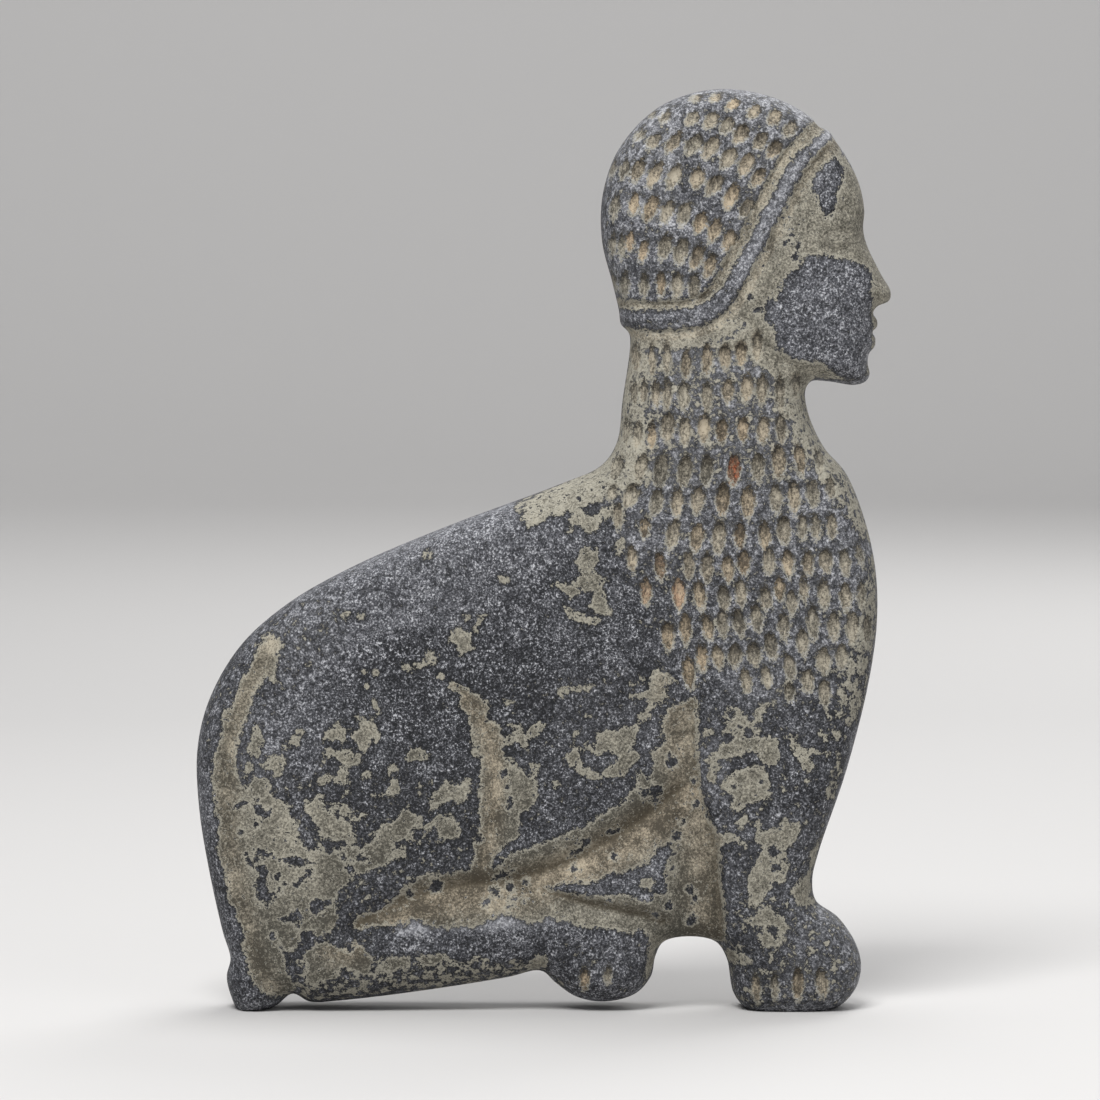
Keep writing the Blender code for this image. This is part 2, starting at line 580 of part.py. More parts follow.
def add_cut(scatter, cut, line, spacing):
    """Adds a stroke's valley, its two lips and, on a wide slope, a line halfway up."""
    share = np.linspace(0.0, 1.0, len(line))
    offsets = [0.0 * share]
    for width, sign in ((mixed(cut.left, share), 1.0), (mixed(cut.right, share), -1.0)):
        offsets.append(sign * width)
        if width.max() > STROKE_SPACING:
            offsets.append(0.5 * sign * width)
    room = STROKE_ROOM_SHARE * min(cut.left + cut.right)
    for offset in offsets:
        scatter.add(beside(line, offset, spacing), room, STROKE_CLEARANCE)


def fill_grid(outline, spacing):
    """A grid of points over the outline's box, every other row shifted by half a step."""
    low, high = outline.min(axis=0), outline.max(axis=0)
    found = []
    for row, z in enumerate(np.arange(low[1], high[1], spacing * math.sqrt(0.75))):
        start = low[0] + (0.5 * spacing if row % 2 else 0.0)
        found.extend((x, z) for x in np.arange(start, high[0], spacing))
    return np.array(found)


def gathered(ring, room):
    """The ring's points without those closer than room to the one before, and each point's new number."""
    kept = [0]
    numbers = []
    for index, point in enumerate(ring):
        if index and math.dist(point, ring[kept[-1]]) >= room:
            kept.append(index)
        numbers.append(len(kept) - 1)
    if len(kept) > 1 and math.dist(ring[kept[-1]], ring[0]) < room:
        last = kept.index(kept[-1])
        kept.pop()
        numbers = [0 if number == last else number for number in numbers]
    return ring[kept], numbers


def rim_faces(outer, inner, back):
    """The strip of faces between two rings, given as each corner's vertex number along both."""
    faces = []
    count = len(outer)
    for i in range(count):
        j = (i + 1) % count
        corners = []
        for number in (outer[i], outer[j], inner[j], inner[i]):
            if number not in corners:
                corners.append(number)
        if len(corners) > 2:
            faces.append(corners if back else corners[::-1])
    return faces


def field_faces(vertices, ring_numbers, relief, points, side):
    """Fills the ring, whose corners are the first of points, with triangles. Adds their other corners."""
    count = len(ring_numbers)
    loop = [(i, (i + 1) % count) for i in range(count)]
    flat = [Vector(point) / GRID for point in points]
    met, _, triangles, origins, _, _ = delaunay_2d_cdt(flat, loop, [], 1, 1e-6)
    places = np.array([tuple(point * GRID) for point in met])
    heights = relief.heights(places, side > 0)
    numbers = []
    for place, height, origin in zip(places, heights, origins):
        ringed = [index for index in origin if index < count]
        if ringed:
            numbers.append(ring_numbers[ringed[0]])
        else:
            numbers.append(len(vertices))
            vertices.append((place[0], side * height, place[1]))
    # The triangles turn left in (x, z), which faces -Y.
    return [[numbers[i] for i in corners][::-1 if side > 0 else 1] for corners in triangles]


def plaque_mesh(relief):
    """One closed mesh: a front and a back that share the outline's corners on the mid-plane."""
    outline = relief.outline
    vertices = [(x, 0.0, z) for x, z in outline]
    faces = []
    for side in (-1.0, 1.0):
        outer = list(range(len(outline)))
        ring = inward_start(outline, RIM_DEPTHS[0] * EDGE_ROUNDING)
        for depth in RIM_DEPTHS:
            ring = inward(ring, outline, depth * EDGE_ROUNDING)
            corners, numbers = gathered(ring, RIM_ROOM)
            inner = [len(vertices) + number for number in numbers]
            heights = relief.heights(corners, side > 0)
            ring_numbers = list(range(len(vertices), len(vertices) + len(corners)))
            vertices.extend((x, side * h, z) for (x, z), h in zip(corners, heights))
            faces.extend(rim_faces(outer, inner, side > 0))
            outer = inner
        points = surface_points(relief, corners, RIM_DEPTHS[-1] * EDGE_ROUNDING, side > 0)
        faces.extend(field_faces(vertices, ring_numbers, relief, points, side))
    mesh = bpy.data.meshes.new("sphinx_plaque")
    mesh.from_pydata(vertices, [], faces)
    mesh.validate()
    return mesh


def stone_material():
    material = bpy.data.materials.new("dark chlorite")
    material.use_nodes = True
    shader = material.node_tree.nodes["Principled BSDF"]
    shader.inputs["Base Color"].default_value = STONE_COLOUR
    shader.inputs["Roughness"].default_value = STONE_ROUGHNESS
    shader.inputs["Metallic"].default_value = 0.0
    return material


def named_collection(name):
    collection = bpy.data.collections.new(name)
    bpy.context.scene.collection.children.link(collection)
    return collection


def floor_cutter(collection):
    """A block under the floor, larger than the plaque all round, that cuts the feet flat."""
    bpy.ops.mesh.primitive_cube_add(size=1.0)
    block = bpy.context.active_object
    block.name = "floor_cutter"
    block.dimensions = (1.2 * HEIGHT, 2.0 * THICKNESS, 0.1 * HEIGHT)
    block.location.z = -0.05 * HEIGHT
    block.hide_render = True
    block.display_type = "WIRE"
    for holder in list(block.users_collection):
        holder.objects.unlink(block)
    collection.objects.link(block)
    return block


def build():
    clear_scene()
    relief = Relief()
    plaque = bpy.data.objects.new("sphinx_plaque", plaque_mesh(relief))
    named_collection("stone relief plaque").objects.link(plaque)
    plaque.data.materials.append(stone_material())
    cut = plaque.modifiers.new("flat feet", "BOOLEAN")
    cut.operation = "DIFFERENCE"
    cut.solver = "EXACT"
    cut.object = floor_cutter(named_collection("cutters"))


if __name__ == "__main__":
    build()
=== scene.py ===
"""Stone relief plaque: a seated sphinx with a banded cap, carved in one slab of dark chlorite.

The figure faces +X and its carved side faces -Y. One piece of stone carries everything: the fine carving is
in its mesh, and its weathered crust, its grain, its soil and its painted light and shade are in its finish.
Lengths in the maths are in millimetres, and become metres where the mesh is made.
"""

import logging
import math
from collections.abc import Callable
from dataclasses import dataclass, field
from enum import Enum

import bpy
import numpy as np
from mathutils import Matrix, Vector
from mathutils.geometry import delaunay_2d_cdt
from mathutils.kdtree import KDTree


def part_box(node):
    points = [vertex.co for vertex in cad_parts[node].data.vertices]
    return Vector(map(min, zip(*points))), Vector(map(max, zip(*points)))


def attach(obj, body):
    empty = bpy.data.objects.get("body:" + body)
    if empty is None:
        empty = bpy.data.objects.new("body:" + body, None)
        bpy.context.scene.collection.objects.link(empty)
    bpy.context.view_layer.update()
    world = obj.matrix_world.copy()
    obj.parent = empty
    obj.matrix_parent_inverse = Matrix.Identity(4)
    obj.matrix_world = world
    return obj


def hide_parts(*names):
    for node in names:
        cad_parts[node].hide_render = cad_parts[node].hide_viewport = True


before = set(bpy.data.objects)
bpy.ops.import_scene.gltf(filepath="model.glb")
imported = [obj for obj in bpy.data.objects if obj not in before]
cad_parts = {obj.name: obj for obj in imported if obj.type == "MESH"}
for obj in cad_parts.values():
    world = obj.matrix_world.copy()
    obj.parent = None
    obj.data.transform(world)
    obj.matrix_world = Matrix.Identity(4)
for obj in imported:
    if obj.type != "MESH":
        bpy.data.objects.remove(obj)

LOG = logging.getLogger("plaque")

MM = 0.001
Points = np.ndarray
Values = np.ndarray
Pair = tuple[float, float]
Place = tuple[float, float, float]
Loop = tuple[Pair, ...]
Zone = tuple[Loop | Points, float, float]
Colour = tuple[float, float, float, float]
Stops = tuple[tuple[float, Colour], ...]
Node = bpy.types.Node
NodeTree = bpy.types.NodeTree
Socket = bpy.types.NodeSocket
Feed = Socket | float | tuple[float, ...]

# The drawing that the stains and the camera are read on: 920 squares to the plaque's height, x to the right,
# y down. The near face is closer to the eye than the outline and is seen from a little above, so a square
# is smaller on it and the floor is lower: NEAR_SQUARE is its width and height there, and NEAR_START the
# column and the row that are 0 in the carving's own millimetres.
MILLIMETRES_A_SQUARE = 240.0 / 920.0
NEAR_SQUARE = (0.25886, 0.25934)
NEAR_START = (541.94, 1015.0)
DRAWING_WIDTH = 1100.0
# The same shift for lines drawn in millimetres over the outline: how much smaller, and how much higher.
NEAR_SCALE = (0.9923, 0.9941)
NEAR_LIFT = (0.0, 1.43)


class Side(Enum):
    """A face of the plaque. The value is the sign of its y."""

    FRONT = -1.0
    BACK = 1.0


# The outline, clockwise from under the tail's foot: (x, z) in millimetres.
TAIL_AND_RUMP: Loop = (
    (-76, -2), (-79.5, -0.5), (-81.5, 3.5), (-82.5, 8.2), (-81.5, 13), (-83.5, 20), (-87, 36),
    (-89.6, 52.5), (-90, 68), (-86.8, 81), (-78.6, 95), (-66.2, 106), (-49.5, 115.5),
)
BACK_AND_NAPE: Loop = ((-25, 126), (4.5, 137), (15.5, 142), (19.5, 148), (21, 159), (23, 174))
CAP: Loop = (
    (22.6, 176.6), (20.6, 178.8), (20, 182.6), (18.4, 189.3), (15.6, 200.8), (15.9, 213), (20.4, 225),
    (31, 235.6), (45.4, 239.9), (59.5, 238), (69.4, 233), (72, 230.2), (74.6, 229), (76.2, 226.6),
)
THROAT: Loop = ((74, 164), (70, 163.9), (68.6, 161.6), (69.4, 155.5), (73.5, 146.7))
CHEST_AND_FORELEG: Loop = (
    (79.2, 140), (84.4, 127), (87.1, 114), (87.4, 101), (85.3, 85.5), (79.4, 62), (72.5, 41.6),
    (70.7, 33.8), (71.7, 28),
)
FRONT_PAW: Loop = (
    (77.6, 23.5), (82.2, 16.5), (83.5, 10.4), (81.4, 4), (75.6, -0.7), (64.7, -2.5), (54.8, -1),
    (50.3, 3.5), (48.3, 13),
)
ARCH: Loop = ((45.4, 17.4), (38.6, 18.8), (31.8, 17.4), (29.7, 13.7))
HIND_PAW: Loop = ((28.6, 8.5), (24.5, 3.8), (16.2, 1.7), (8.9, 3), (3.6, 6.6), (-0.3, 9.8))
BELLY: Loop = ((-9, 8.1), (-29, 4.9), (-52.5, 2), (-60.8, 1.7), (-65.2, 3.8), (-69.4, 0.7))

# The face's profile is a plain canon of thirds: brow, base of the nose and chin at one, two and three
# thirds of the face's height. Each pair is the share down the face and the share forward of the hairline.
FACE_TOP: Pair = (76.5, 225.3)
FACE_LENGTH = 62.3
FACE_PROFILE: Loop = (
    (0.05, 0.044), (0.16, 0.096), (0.27, 0.118), (0.345, 0.113), (0.41, 0.127), (0.54, 0.190),
    (0.61, 0.229), (0.648, 0.222), (0.672, 0.172), (0.70, 0.155), (0.728, 0.172), (0.757, 0.172),
    (0.778, 0.152), (0.803, 0.165), (0.837, 0.163), (0.87, 0.138), (0.912, 0.134), (0.954, 0.142),
    (0.985, 0.125), (1.0, 0.08),
)


@dataclass(frozen=True)
class Cut:
    """A carved stroke: its line, and its depth and widths at even stations, all in millimetres.

    The left and the right width are those of the slopes on each side of the line of travel.
    """

    line: Loop
    depth: tuple[float, ...]
    left: tuple[float, ...]
    right: tuple[float, ...]
    on_back: bool = False


TAIL = Cut(
    ((-70, 98), (-74, 90), (-78.4, 80), (-81, 71.3), (-82.4, 61.2), (-82.4, 48), (-81.1, 37.7),
     (-78.9, 27.8), (-76.9, 19.4), (-74.4, 10.8), (-71.6, 5)),
    depth=(0.8, 1.3, 1.5), left=(3.4, 4.2), right=(2.0, 2.4), on_back=True,
)
HAUNCH = Cut(
    ((-24, 84.4), (-18.8, 79.4), (-14.3, 73), (-12.5, 63.8), (-12.8, 52), (-14.1, 43), (-15.7, 36)),
    depth=(0.5, 0.9, 0.9), left=(2.6, 3.4), right=(2.2, 2.6),
)
THIGH = Cut(
    ((-51, 20), (-37, 27.8), (-21.4, 32), (-5.5, 34), (10.4, 39.8), (26.1, 49.2), (35.7, 57)),
    depth=(1.4, 2.6, 3.2, 3.4), left=(5.0, 6.4), right=(9.0, 9.0, 7.0), on_back=True,
)
SHIN = Cut(
    ((0.8, 31.2), (10.4, 27.8), (19.8, 25.6), (27.4, 24), (31.5, 22.4)),
    depth=(1.4, 2.8), left=(2.2, 3.2), right=(6.0, 6.0),
)
BELLY_HOLLOW = Cut(
    ((36, 50), (36.6, 40), (37.4, 30), (38, 21)),
    depth=(3.0, 4.2, 4.6), left=(8.5, 9.5), right=(8.0, 7.0), on_back=True,
)
FORELEG = Cut(
    ((39.2, 84), (39.3, 74), (40, 64), (41.6, 55), (44, 46.5), (45.2, 40), (46, 30), (46.8, 20), (47, 12)),
    depth=(0.4, 1.8, 3.4, 4.2, 4.6), left=(1.8, 2.4, 2.6), right=(7.5, 9.0, 8.0), on_back=True,
)
JAW = Cut(
    ((53.5, 180), (59.5, 172.6), (66, 167.4), (72.6, 164.4)),
    depth=(0.8, 2.2), left=(1.8, 2.6), right=(11.0, 10.0), on_back=True,
)

# The band round the cap, along the middle of its roll, from the nape to the brow, in the drawing's squares,
# and half the roll's width at even stations, in millimetres.
BAND: Loop = (
    (608, 317), (622, 319), (640, 320), (660, 320), (680, 319), (699, 315.5), (713, 308.5), (724, 297.5),
    (733, 284), (744.5, 262.5), (756, 243), (765.5, 223), (776.5, 203.5), (787, 183), (797.5, 165),
    (809, 152), (820, 142), (834, 131),
)
ROLL_HALF_WIDTHS = (2.5, 2.6, 2.7, 2.4, 2.2, 2.2, 2.2, 2.1, 1.7, 1.5)

# The gouges, row by row: x and y of the middle, the lean in degrees, the length and the width, in the
# drawing's squares, and how warm the soil in it is, from 0, grey olive, to 1, red.
CAP_GOUGES = (
    (716, 98, 70, 14, 7, 0.2), (697, 99, 75, 12, 6, 0.15), (733, 105, 60, 16, 9, 0.3),
    (754, 112, 55, 17, 10, 0.2), (774, 118, 45, 18, 12, 0.2), (790, 129, 45, 19, 12, 0.15),
    (652, 113, 50, 12, 8, 0.1), (666, 117, 45, 15, 8, 0.15), (692, 119, 45, 17, 11, 0.12),
    (711, 121, 45, 20, 12, 0.15), (727, 126, 38, 20, 12, 0.12), (741, 134, 35, 22, 14, 0.2),
    (760, 141, 35, 20, 13, 0.16), (774, 149, 38, 21, 13, 0.24),
    (640, 135, 40, 14, 7, 0.1), (654, 141, 40, 20, 11, 0.15), (674, 142, 36, 26, 11, 0.2),
    (693, 145, 36, 25, 14, 0.1), (711, 147, 34, 27, 14, 0.16), (728, 158, 34, 24, 14, 0.15),
    (746, 164, 30, 26, 14, 0.2), (758, 177, 34, 22, 12, 0.22),
    (613, 168, 15, 18, 6, 0.1), (625, 169, 20, 20, 9, 0.12), (638, 170, 26, 26, 12, 0.2),
    (655, 174, 28, 29, 12, 0.2), (674, 176, 26, 27, 13, 0.14), (697, 178, 14, 23, 14, 0.2),
    (714, 185, 38, 24, 14, 0.16), (731, 196, 24, 27, 13, 0.28), (746, 208, 32, 22, 12, 0.15),
    (615, 206, 8, 24, 9, 0.1), (634, 203, 12, 23, 10, 0.3), (651, 208, 25, 28, 13, 0.3),
    (667, 211, 22, 25, 12, 0.14), (684, 213, 18, 24, 12, 0.12), (700, 222, 22, 24, 12, 0.3),
    (714, 230, 20, 24, 12, 0.25), (729, 240, 22, 22, 13, 0.25),
    (613, 243, 3, 22, 7, 0.1), (622, 245, 3, 24, 7, 0.08), (630, 241, 7, 22, 9, 0.4),
    (643, 250, 8, 23, 9, 0.36), (665, 246, 16, 27, 13, 0.12), (681, 251, 14, 27, 14, 0.12),
    (697, 256, 20, 27, 12, 0.25), (710, 265, 18, 24, 12, 0.25),
    (613, 283, 0, 24, 7, 0.08), (625, 284, 2, 26, 9, 0.08), (644, 284, 2, 25, 9, 0.1),
    (661, 283, 2, 25, 9, 0.34), (677, 284, 4, 27, 12, 0.12), (694, 285, 5, 27, 11, 0.12),
)
NECK_GOUGES = (
    (636, 358, 0, 28, 9, 0.15), (652, 361, 0, 33, 8, 0.15), (667, 358, 0, 30, 8, 0.12),
    (686, 364, 0, 30, 11, 0.2), (707, 359, 0, 31, 11, 0.22), (725, 356, 0, 25, 12, 0.2),
    (741, 353, 0, 24, 12, 0.25), (757, 346, 0, 30, 10, 0.15),
    (634, 393, 0, 22, 8, 0.12), (644, 391, 0, 22, 8, 0.15), (656, 393, 0, 28, 9, 0.16),
    (667, 394, 0, 30, 9, 0.14), (684, 395, 0, 29, 12, 0.1), (707, 396, 0, 30, 11, 0.12),
    (728, 390, 4, 24, 12, 0.2), (747, 387, 5, 28, 12, 0.2), (762, 388, 3, 30, 12, 0.16),
    (780, 394, -2, 36, 10, 0.12), (796, 386, 0, 24, 9, 0.1),
    (627, 432, 8, 28, 8, 0.1), (638, 435, 3, 27, 10, 0.12), (652, 434, 3, 28, 9, 0.3),
    (668, 426, 5, 30, 14, 0.15), (685, 430, 2, 29, 12, 0.14), (704, 427, 3, 30, 12, 0.2),
    (722, 430, 2, 26, 12, 0.34), (743, 428, 2, 26, 11, 0.34), (763, 429, 3, 28, 13, 0.2),
    (781, 428, -2, 30, 11, 0.15),
    (617, 468, 22, 26, 12, 0.1), (641, 467, 16, 28, 13, 0.12), (661, 470, 8, 36, 14, 0.1),
    (685, 470, 9, 33, 14, 0.12), (707, 469, 3, 31, 13, 0.1), (734, 468, 2, 31, 13, 0.95),
    (758, 466, 0, 30, 13, 0.12), (779, 461, -2, 34, 14, 0.22), (800, 459, -6, 30, 11, 0.25),
    (820, 461, -8, 24, 9, 0.1),
    (612, 492, 25, 16, 10, 0.1), (631, 495, 28, 26, 15, 0.12), (657, 500, 12, 29, 13, 0.1),
    (677, 502, 4, 32, 12, 0.18), (698, 499, 10, 29, 14, 0.16), (723, 498, 3, 34, 14, 0.3),
    (748, 501, 0, 34, 14, 0.26), (776, 497, -2, 30, 12, 0.12), (794, 495, -3, 32, 12, 0.2),
    (813, 492, -4, 28, 13, 0.1), (831, 488, -6, 22, 9, 0.12),
    (618, 515, 0, 26, 9, 0.15), (645, 526, 0, 22, 10, 0.3), (673, 533, 12, 31, 13, 0.14),
    (697, 536, 10, 30, 13, 0.25), (719, 536, 5, 33, 14, 0.14), (740, 534, 2, 28, 11, 0.4),
    (765, 534, -2, 29, 12, 0.25), (784, 529, -3, 30, 14, 0.14), (803, 526, 0, 26, 9, 0.12),
    (816, 525, -2, 26, 10, 0.12), (832, 525, -4, 26, 11, 0.14),
    (632, 557, -4, 27, 10, 0.2), (660, 564, -3, 29, 11, 0.5), (689, 564, 0, 28, 11, 0.16),
    (707, 566, 0, 30, 12, 0.16), (728, 567, -4, 28, 12, 0.25), (744, 561, -2, 26, 13, 0.38),
    (769, 560, 0, 28, 12, 0.12), (788, 561, -5, 28, 12, 0.25), (808, 562, -2, 24, 11, 0.2),
    (826, 560, -4, 24, 14, 0.15), (845, 561, -8, 28, 11, 0.12), (860, 553, -14, 22, 7, 0.1),
    (646, 590, -2, 28, 11, 0.5), (679, 592, 0, 32, 13, 0.55), (700, 594, -6, 30, 12, 0.26),
    (724, 597, -4, 28, 12, 0.12), (741, 591, -4, 28, 11, 0.14), (766, 597, -8, 24, 12, 0.14),
    (780, 587, -2, 24, 11, 0.3), (792, 601, -5, 26, 11, 0.12), (804, 587, -2, 26, 9, 0.16),
    (824, 593, -3, 30, 12, 0.12), (846, 596, -4, 30, 12, 0.14), (862, 594, -3, 28, 9, 0.1),
    (668, 634, -4, 28, 13, 0.3), (686, 627, -3, 31, 12, 0.3), (708, 626, -12, 27, 12, 0.25),
    (723, 622, -6, 28, 11, 0.12), (739, 621, -12, 28, 12, 0.12), (757, 616, -8, 27, 12, 0.12),
    (784, 625, -4, 28, 11, 0.12), (813, 621, -3, 34, 12, 0.1), (834, 625, -2, 30, 12, 0.12),
    (853, 627, -3, 33, 13, 0.12), (868, 630, -3, 30, 9, 0.1),
    (702, 656, -4, 29, 11, 0.34), (718, 655, -10, 24, 12, 0.2), (735, 654, -2, 24, 13, 0.15),
    (754, 653, -10, 24, 14, 0.12), (771, 645, -10, 27, 13, 0.12), (790, 666, -10, 27, 12, 0.12),
    (803, 641, -3, 28, 12, 0.12), (824, 660, -3, 28, 14, 0.12), (842, 656, -4, 26, 12, 0.1),
    (689, 671, -6, 32, 12, 0.32), (746, 679, -12, 24, 11, 0.15), (767, 676, -10, 23, 10, 0.12),
    (790, 691, -6, 18, 11, 0.1), (808, 680, -3, 26, 12, 0.12), (825, 692, -3, 28, 12, 0.12),
)
TOE_GOUGES = (
    (757, 989, -5, 28, 9, 0.2), (776, 987, -2, 25, 8, 0.12), (799, 985, 0, 33, 12, 0.26),
    (823, 984, -8, 30, 12, 0.18), (585, 980, 4, 24, 10, 0.38), (608, 976, 2, 20, 8, 0.12),
)

# Broad swells of the body: centre x, centre z, reach.
SWELLS = ((-45, 55, 34), (28, 104, 30), (66, 60, 22), (40, 208, 28), (72, 188, 18))


def at(points: Loop | Points) -> Points:
    """Turns points of the drawing, (x, y) in its squares, into the carving's (x, z) in millimetres."""
    away = np.array(points, dtype=float) - NEAR_START
    return away * (NEAR_SQUARE[0], -NEAR_SQUARE[1])


def face_points(shares: Loop) -> Points:
    """Turns shares down the face and forward of the hairline into (x, z) in millimetres."""
    table = np.array(shares, dtype=float)
    across, down = FACE_LENGTH * table[:, 1], FACE_LENGTH * table[:, 0]
    return np.stack([FACE_TOP[0] + across, FACE_TOP[1] - down], axis=1)


def smooth_fall(share: Values) -> Values:
    """Is 1 at 0 and falls smoothly to 0 at 1 and beyond."""
    return np.clip(1.0 - share**2, 0.0, 1.0) ** 2


def valley_fall(share: Values) -> Values:
    """Is 1 at 0, with a crease there, and runs out to 0 at 1 and beyond."""
    near = np.clip(share, 0.0, 1.0)
    return (1.0 - near) ** 2 * (1.0 + 0.8 * near)


def walk(*numbers: float) -> Points:
    """Draws a loop from its start, x and y, and the steps on to each next corner, across and down."""
    return np.cumsum(np.reshape(numbers, (-1, 2)), axis=0)


def oblong(left: float, top: float, right: float, bottom: float) -> Loop:
    """Draws an upright rectangle."""
    return ((left, top), (right, top), (right, bottom), (left, bottom))


# The face's lines, in shares of its length: down from the hairline, and forward of it.
FACE_LINES: tuple[Loop, ...] = (
    ((0.30, -0.065), (0.265, 0.0), (0.285, 0.06), (0.325, 0.095)),
    ((0.40, -0.075), (0.36, -0.03), (0.355, 0.025), (0.385, 0.075)),
    ((0.40, -0.075), (0.432, -0.03), (0.428, 0.025), (0.385, 0.075)),
    ((0.655, 0.20), (0.625, 0.145), (0.645, 0.115), (0.67, 0.12)),
    ((0.779, 0.15), (0.783, 0.11), (0.773, 0.075)),
)


@dataclass(frozen=True)
class Form:
    """A low form of the face that stands proud: its middle and reach in shares, its height in millimetres.

    The middle is the share down the face and the share forward, and the reach is across and down.
    """

    middle: Pair
    reach: Pair
    height: float

    def share(self, points: Points, shift: float) -> Values:
        """Finds the share of the form's height at points, (x, z). The shift is what centred the plaque."""
        centre = face_points((self.middle,))[0] + (shift, 0.0)
        gap = (points - centre) / (np.array(self.reach) * FACE_LENGTH)
        return smooth_fall(np.linalg.norm(gap, axis=1))


FACE_FORMS = (
    Form((0.393, 0.0), (0.078, 0.034), 0.55),
    Form((0.315, 0.02), (0.13, 0.035), 0.35),
    Form((0.642, 0.165), (0.045, 0.035), 0.45),
    Form((0.752, 0.135), (0.06, 0.022), 0.35),
    Form((0.803, 0.125), (0.055, 0.022), 0.35),
    Form((0.925, 0.06), (0.09, 0.07), 0.4),
)

# Where the pale crust lies on the front, in the drawing's squares. Each loop is a walk: where it starts,
# and the steps on to each next corner.
CRUST_ON_TAIL = walk(
    270, 633, 11, 8, 3, 4, -5, 6, 0, 9, -4, 8, 2, 15, -5, -2, -6, -4, -8, 9, -5, 11, -4, 17, -7, 13, -4, 15,
    -3, 15, 1, 13, 4, 12, 7, 7, 4, -11, 7, -2, 10, 3, 4, 16, 13, 7, 6, 5, 0, 9, 6, 8, 3, 14, 4, 8, 8, 4, 28,
    0, 12, -4, 10, 0, 10, -6, 8, -14, 6, -5, 7, -1, 5, -5, 5, -6, 7, 2, 4, 3, 7, 3, 6, 5, 7, -2, 6, -6, 7,
    1, 7, 2, 5, 7, 3, 6, -3, 8, -9, 1, -9, 5, -7, -3, -6, -5, -7, 2, -1, 6, -8, -3, -8, -1, -8, 2, -3, 7,
    11, 1, 3, 7, -9, 3, -8, -2, -6, 8, -10, 2, -9, 4, -8, 3, -5, 7, -8, 6, -7, 5, -3, 8, 0, 7, 4, 10, -4,
    10, -6, 6, -12, 6, -3, -8, -9, -2, -4, 6, -1, 12, -9, 5, -9, -2, -2, -6, 4, 10, 3, 13, 4, 10, 4, 12, -4,
    10, -15, 0, -13, -5, -4, -5, -6, -3, -4, -12, -2, -15, -4, -8, -2, -7, 3, -8, -4, -9, -4, -10, -2, -9,
    -5, -6, -3, -13, -2, -18, -5, -10, -2, -12, 1, -12, 1, -14, -4, -12, -1, -14, -2, -18, 2, -20, 3, -16,
    4, -11, 1, -13, 3, -10, 8, -4, 4, -14, 7, -16, 7, -12, 7, -16, 5, -11,
)
CRUST_IN_COVE = walk(
    352, 930, 1, -8, 4, -7, 7, -1, 7, -1, 8, -2, 7, -4, 6, -6, 4, -4, 2, -5, 6, -6, 7, -5, 7, -4, 10, -4,
    10, -1, 13, 2, 7, -4, 9, 0, 3, -4, 4, -8, 0, -8, -4, -4, 13, -6, -6, -9, 4, -9, -3, -12, 1, -10, -2,
    -10, 4, -4, -3, -11, 3, -7, -1, -11, -7, -1, -4, -5, 5, -4, -4, -10, 1, -10, -3, -9, -5, -7, -5, -7, 2,
    -7, -4, -8, -4, 1, -7, -2, 5, -7, 10, 2, 6, 5, 8, 4, 8, 4, 6, 6, 2, 6, -3, 5, 2, 7, 8, 2, 4, 6, -1, 7,
    7, 3, 8, -3, 0, -8, -7, -3, 9, -1, 6, 4, 2, 6, 6, -8, 9, -3, 6, 7, -8, 6, -9, 3, -3, 3, 2, 9, -6, -2,
    -6, -6, -8, 2, -6, 5, 4, 8, 6, 0, 2, 7, 8, 4, 5, 7, 3, -5, 0, -7, 7, 0, 4, 3, -3, 5, -4, 7, 4, 8, 1, 9,
    -3, 6, -6, 7, -8, 4, -2, 8, 1, 10, -3, 8, -7, 4, -10, 8, -6, 8, -4, 8, 3, 3, 7, -6, 7, -7, 11, -4, 12,
    -6, 11, -4, 10, -2, 9, -5, 10, -5, 13, -3, 6, -5, 7, -5, 9, -4, 6, -6, 8, -4, 6, -4, 2, -5, 2, -4, 3,
    -4, 4, -4, -1, -7, -2, -6, 6, -3, 3, 6, 5, 5, 4, -5, 1, -9, -3, -8, 2, -5, 8, -4, 4, -5, 0, -6, -4, -8,
    3, -9, 6, -10, 4, -4, 7, -1, 6, -6, 9, -1, 3, 4, 0, 29, 1, 24, 2, 24, 2, 16, 4, 18, 5, 13, 7, 10, 8, 0,
    9, 0, 5, 5, 8, 3, -2, 4, -14, -5, -7, 3, -5, 5, 1, 25, 1, 12, 2, 14, 2, 15, 0, 16, 1, 14, -28, 3, -30,
    0, -14, 4, 0, 13, -6, 15, -6, 8, 2, -16, 2, -17, 2, -18, -8, -6, -6, 2, -5, 4, -8, -4, -10, -3, -11, -1,
    -17, 0, -8, -3, -8, -3, -9, -1, -6, -3, -8, 1, -8, 3, -9, 1, -8, -3, -6, -3, -13, -3, -6, 1, -4, 4, -7,
    3, -4, 4, -10, 2, -13, -2, -10, 2, -17, -1, -6, -3, -6, -4, -8, -2, -6, 8, -4, -3, -8, 3, -7, -1, -6, 0,
    -8, 2, -7, 1, -9, 3,
)
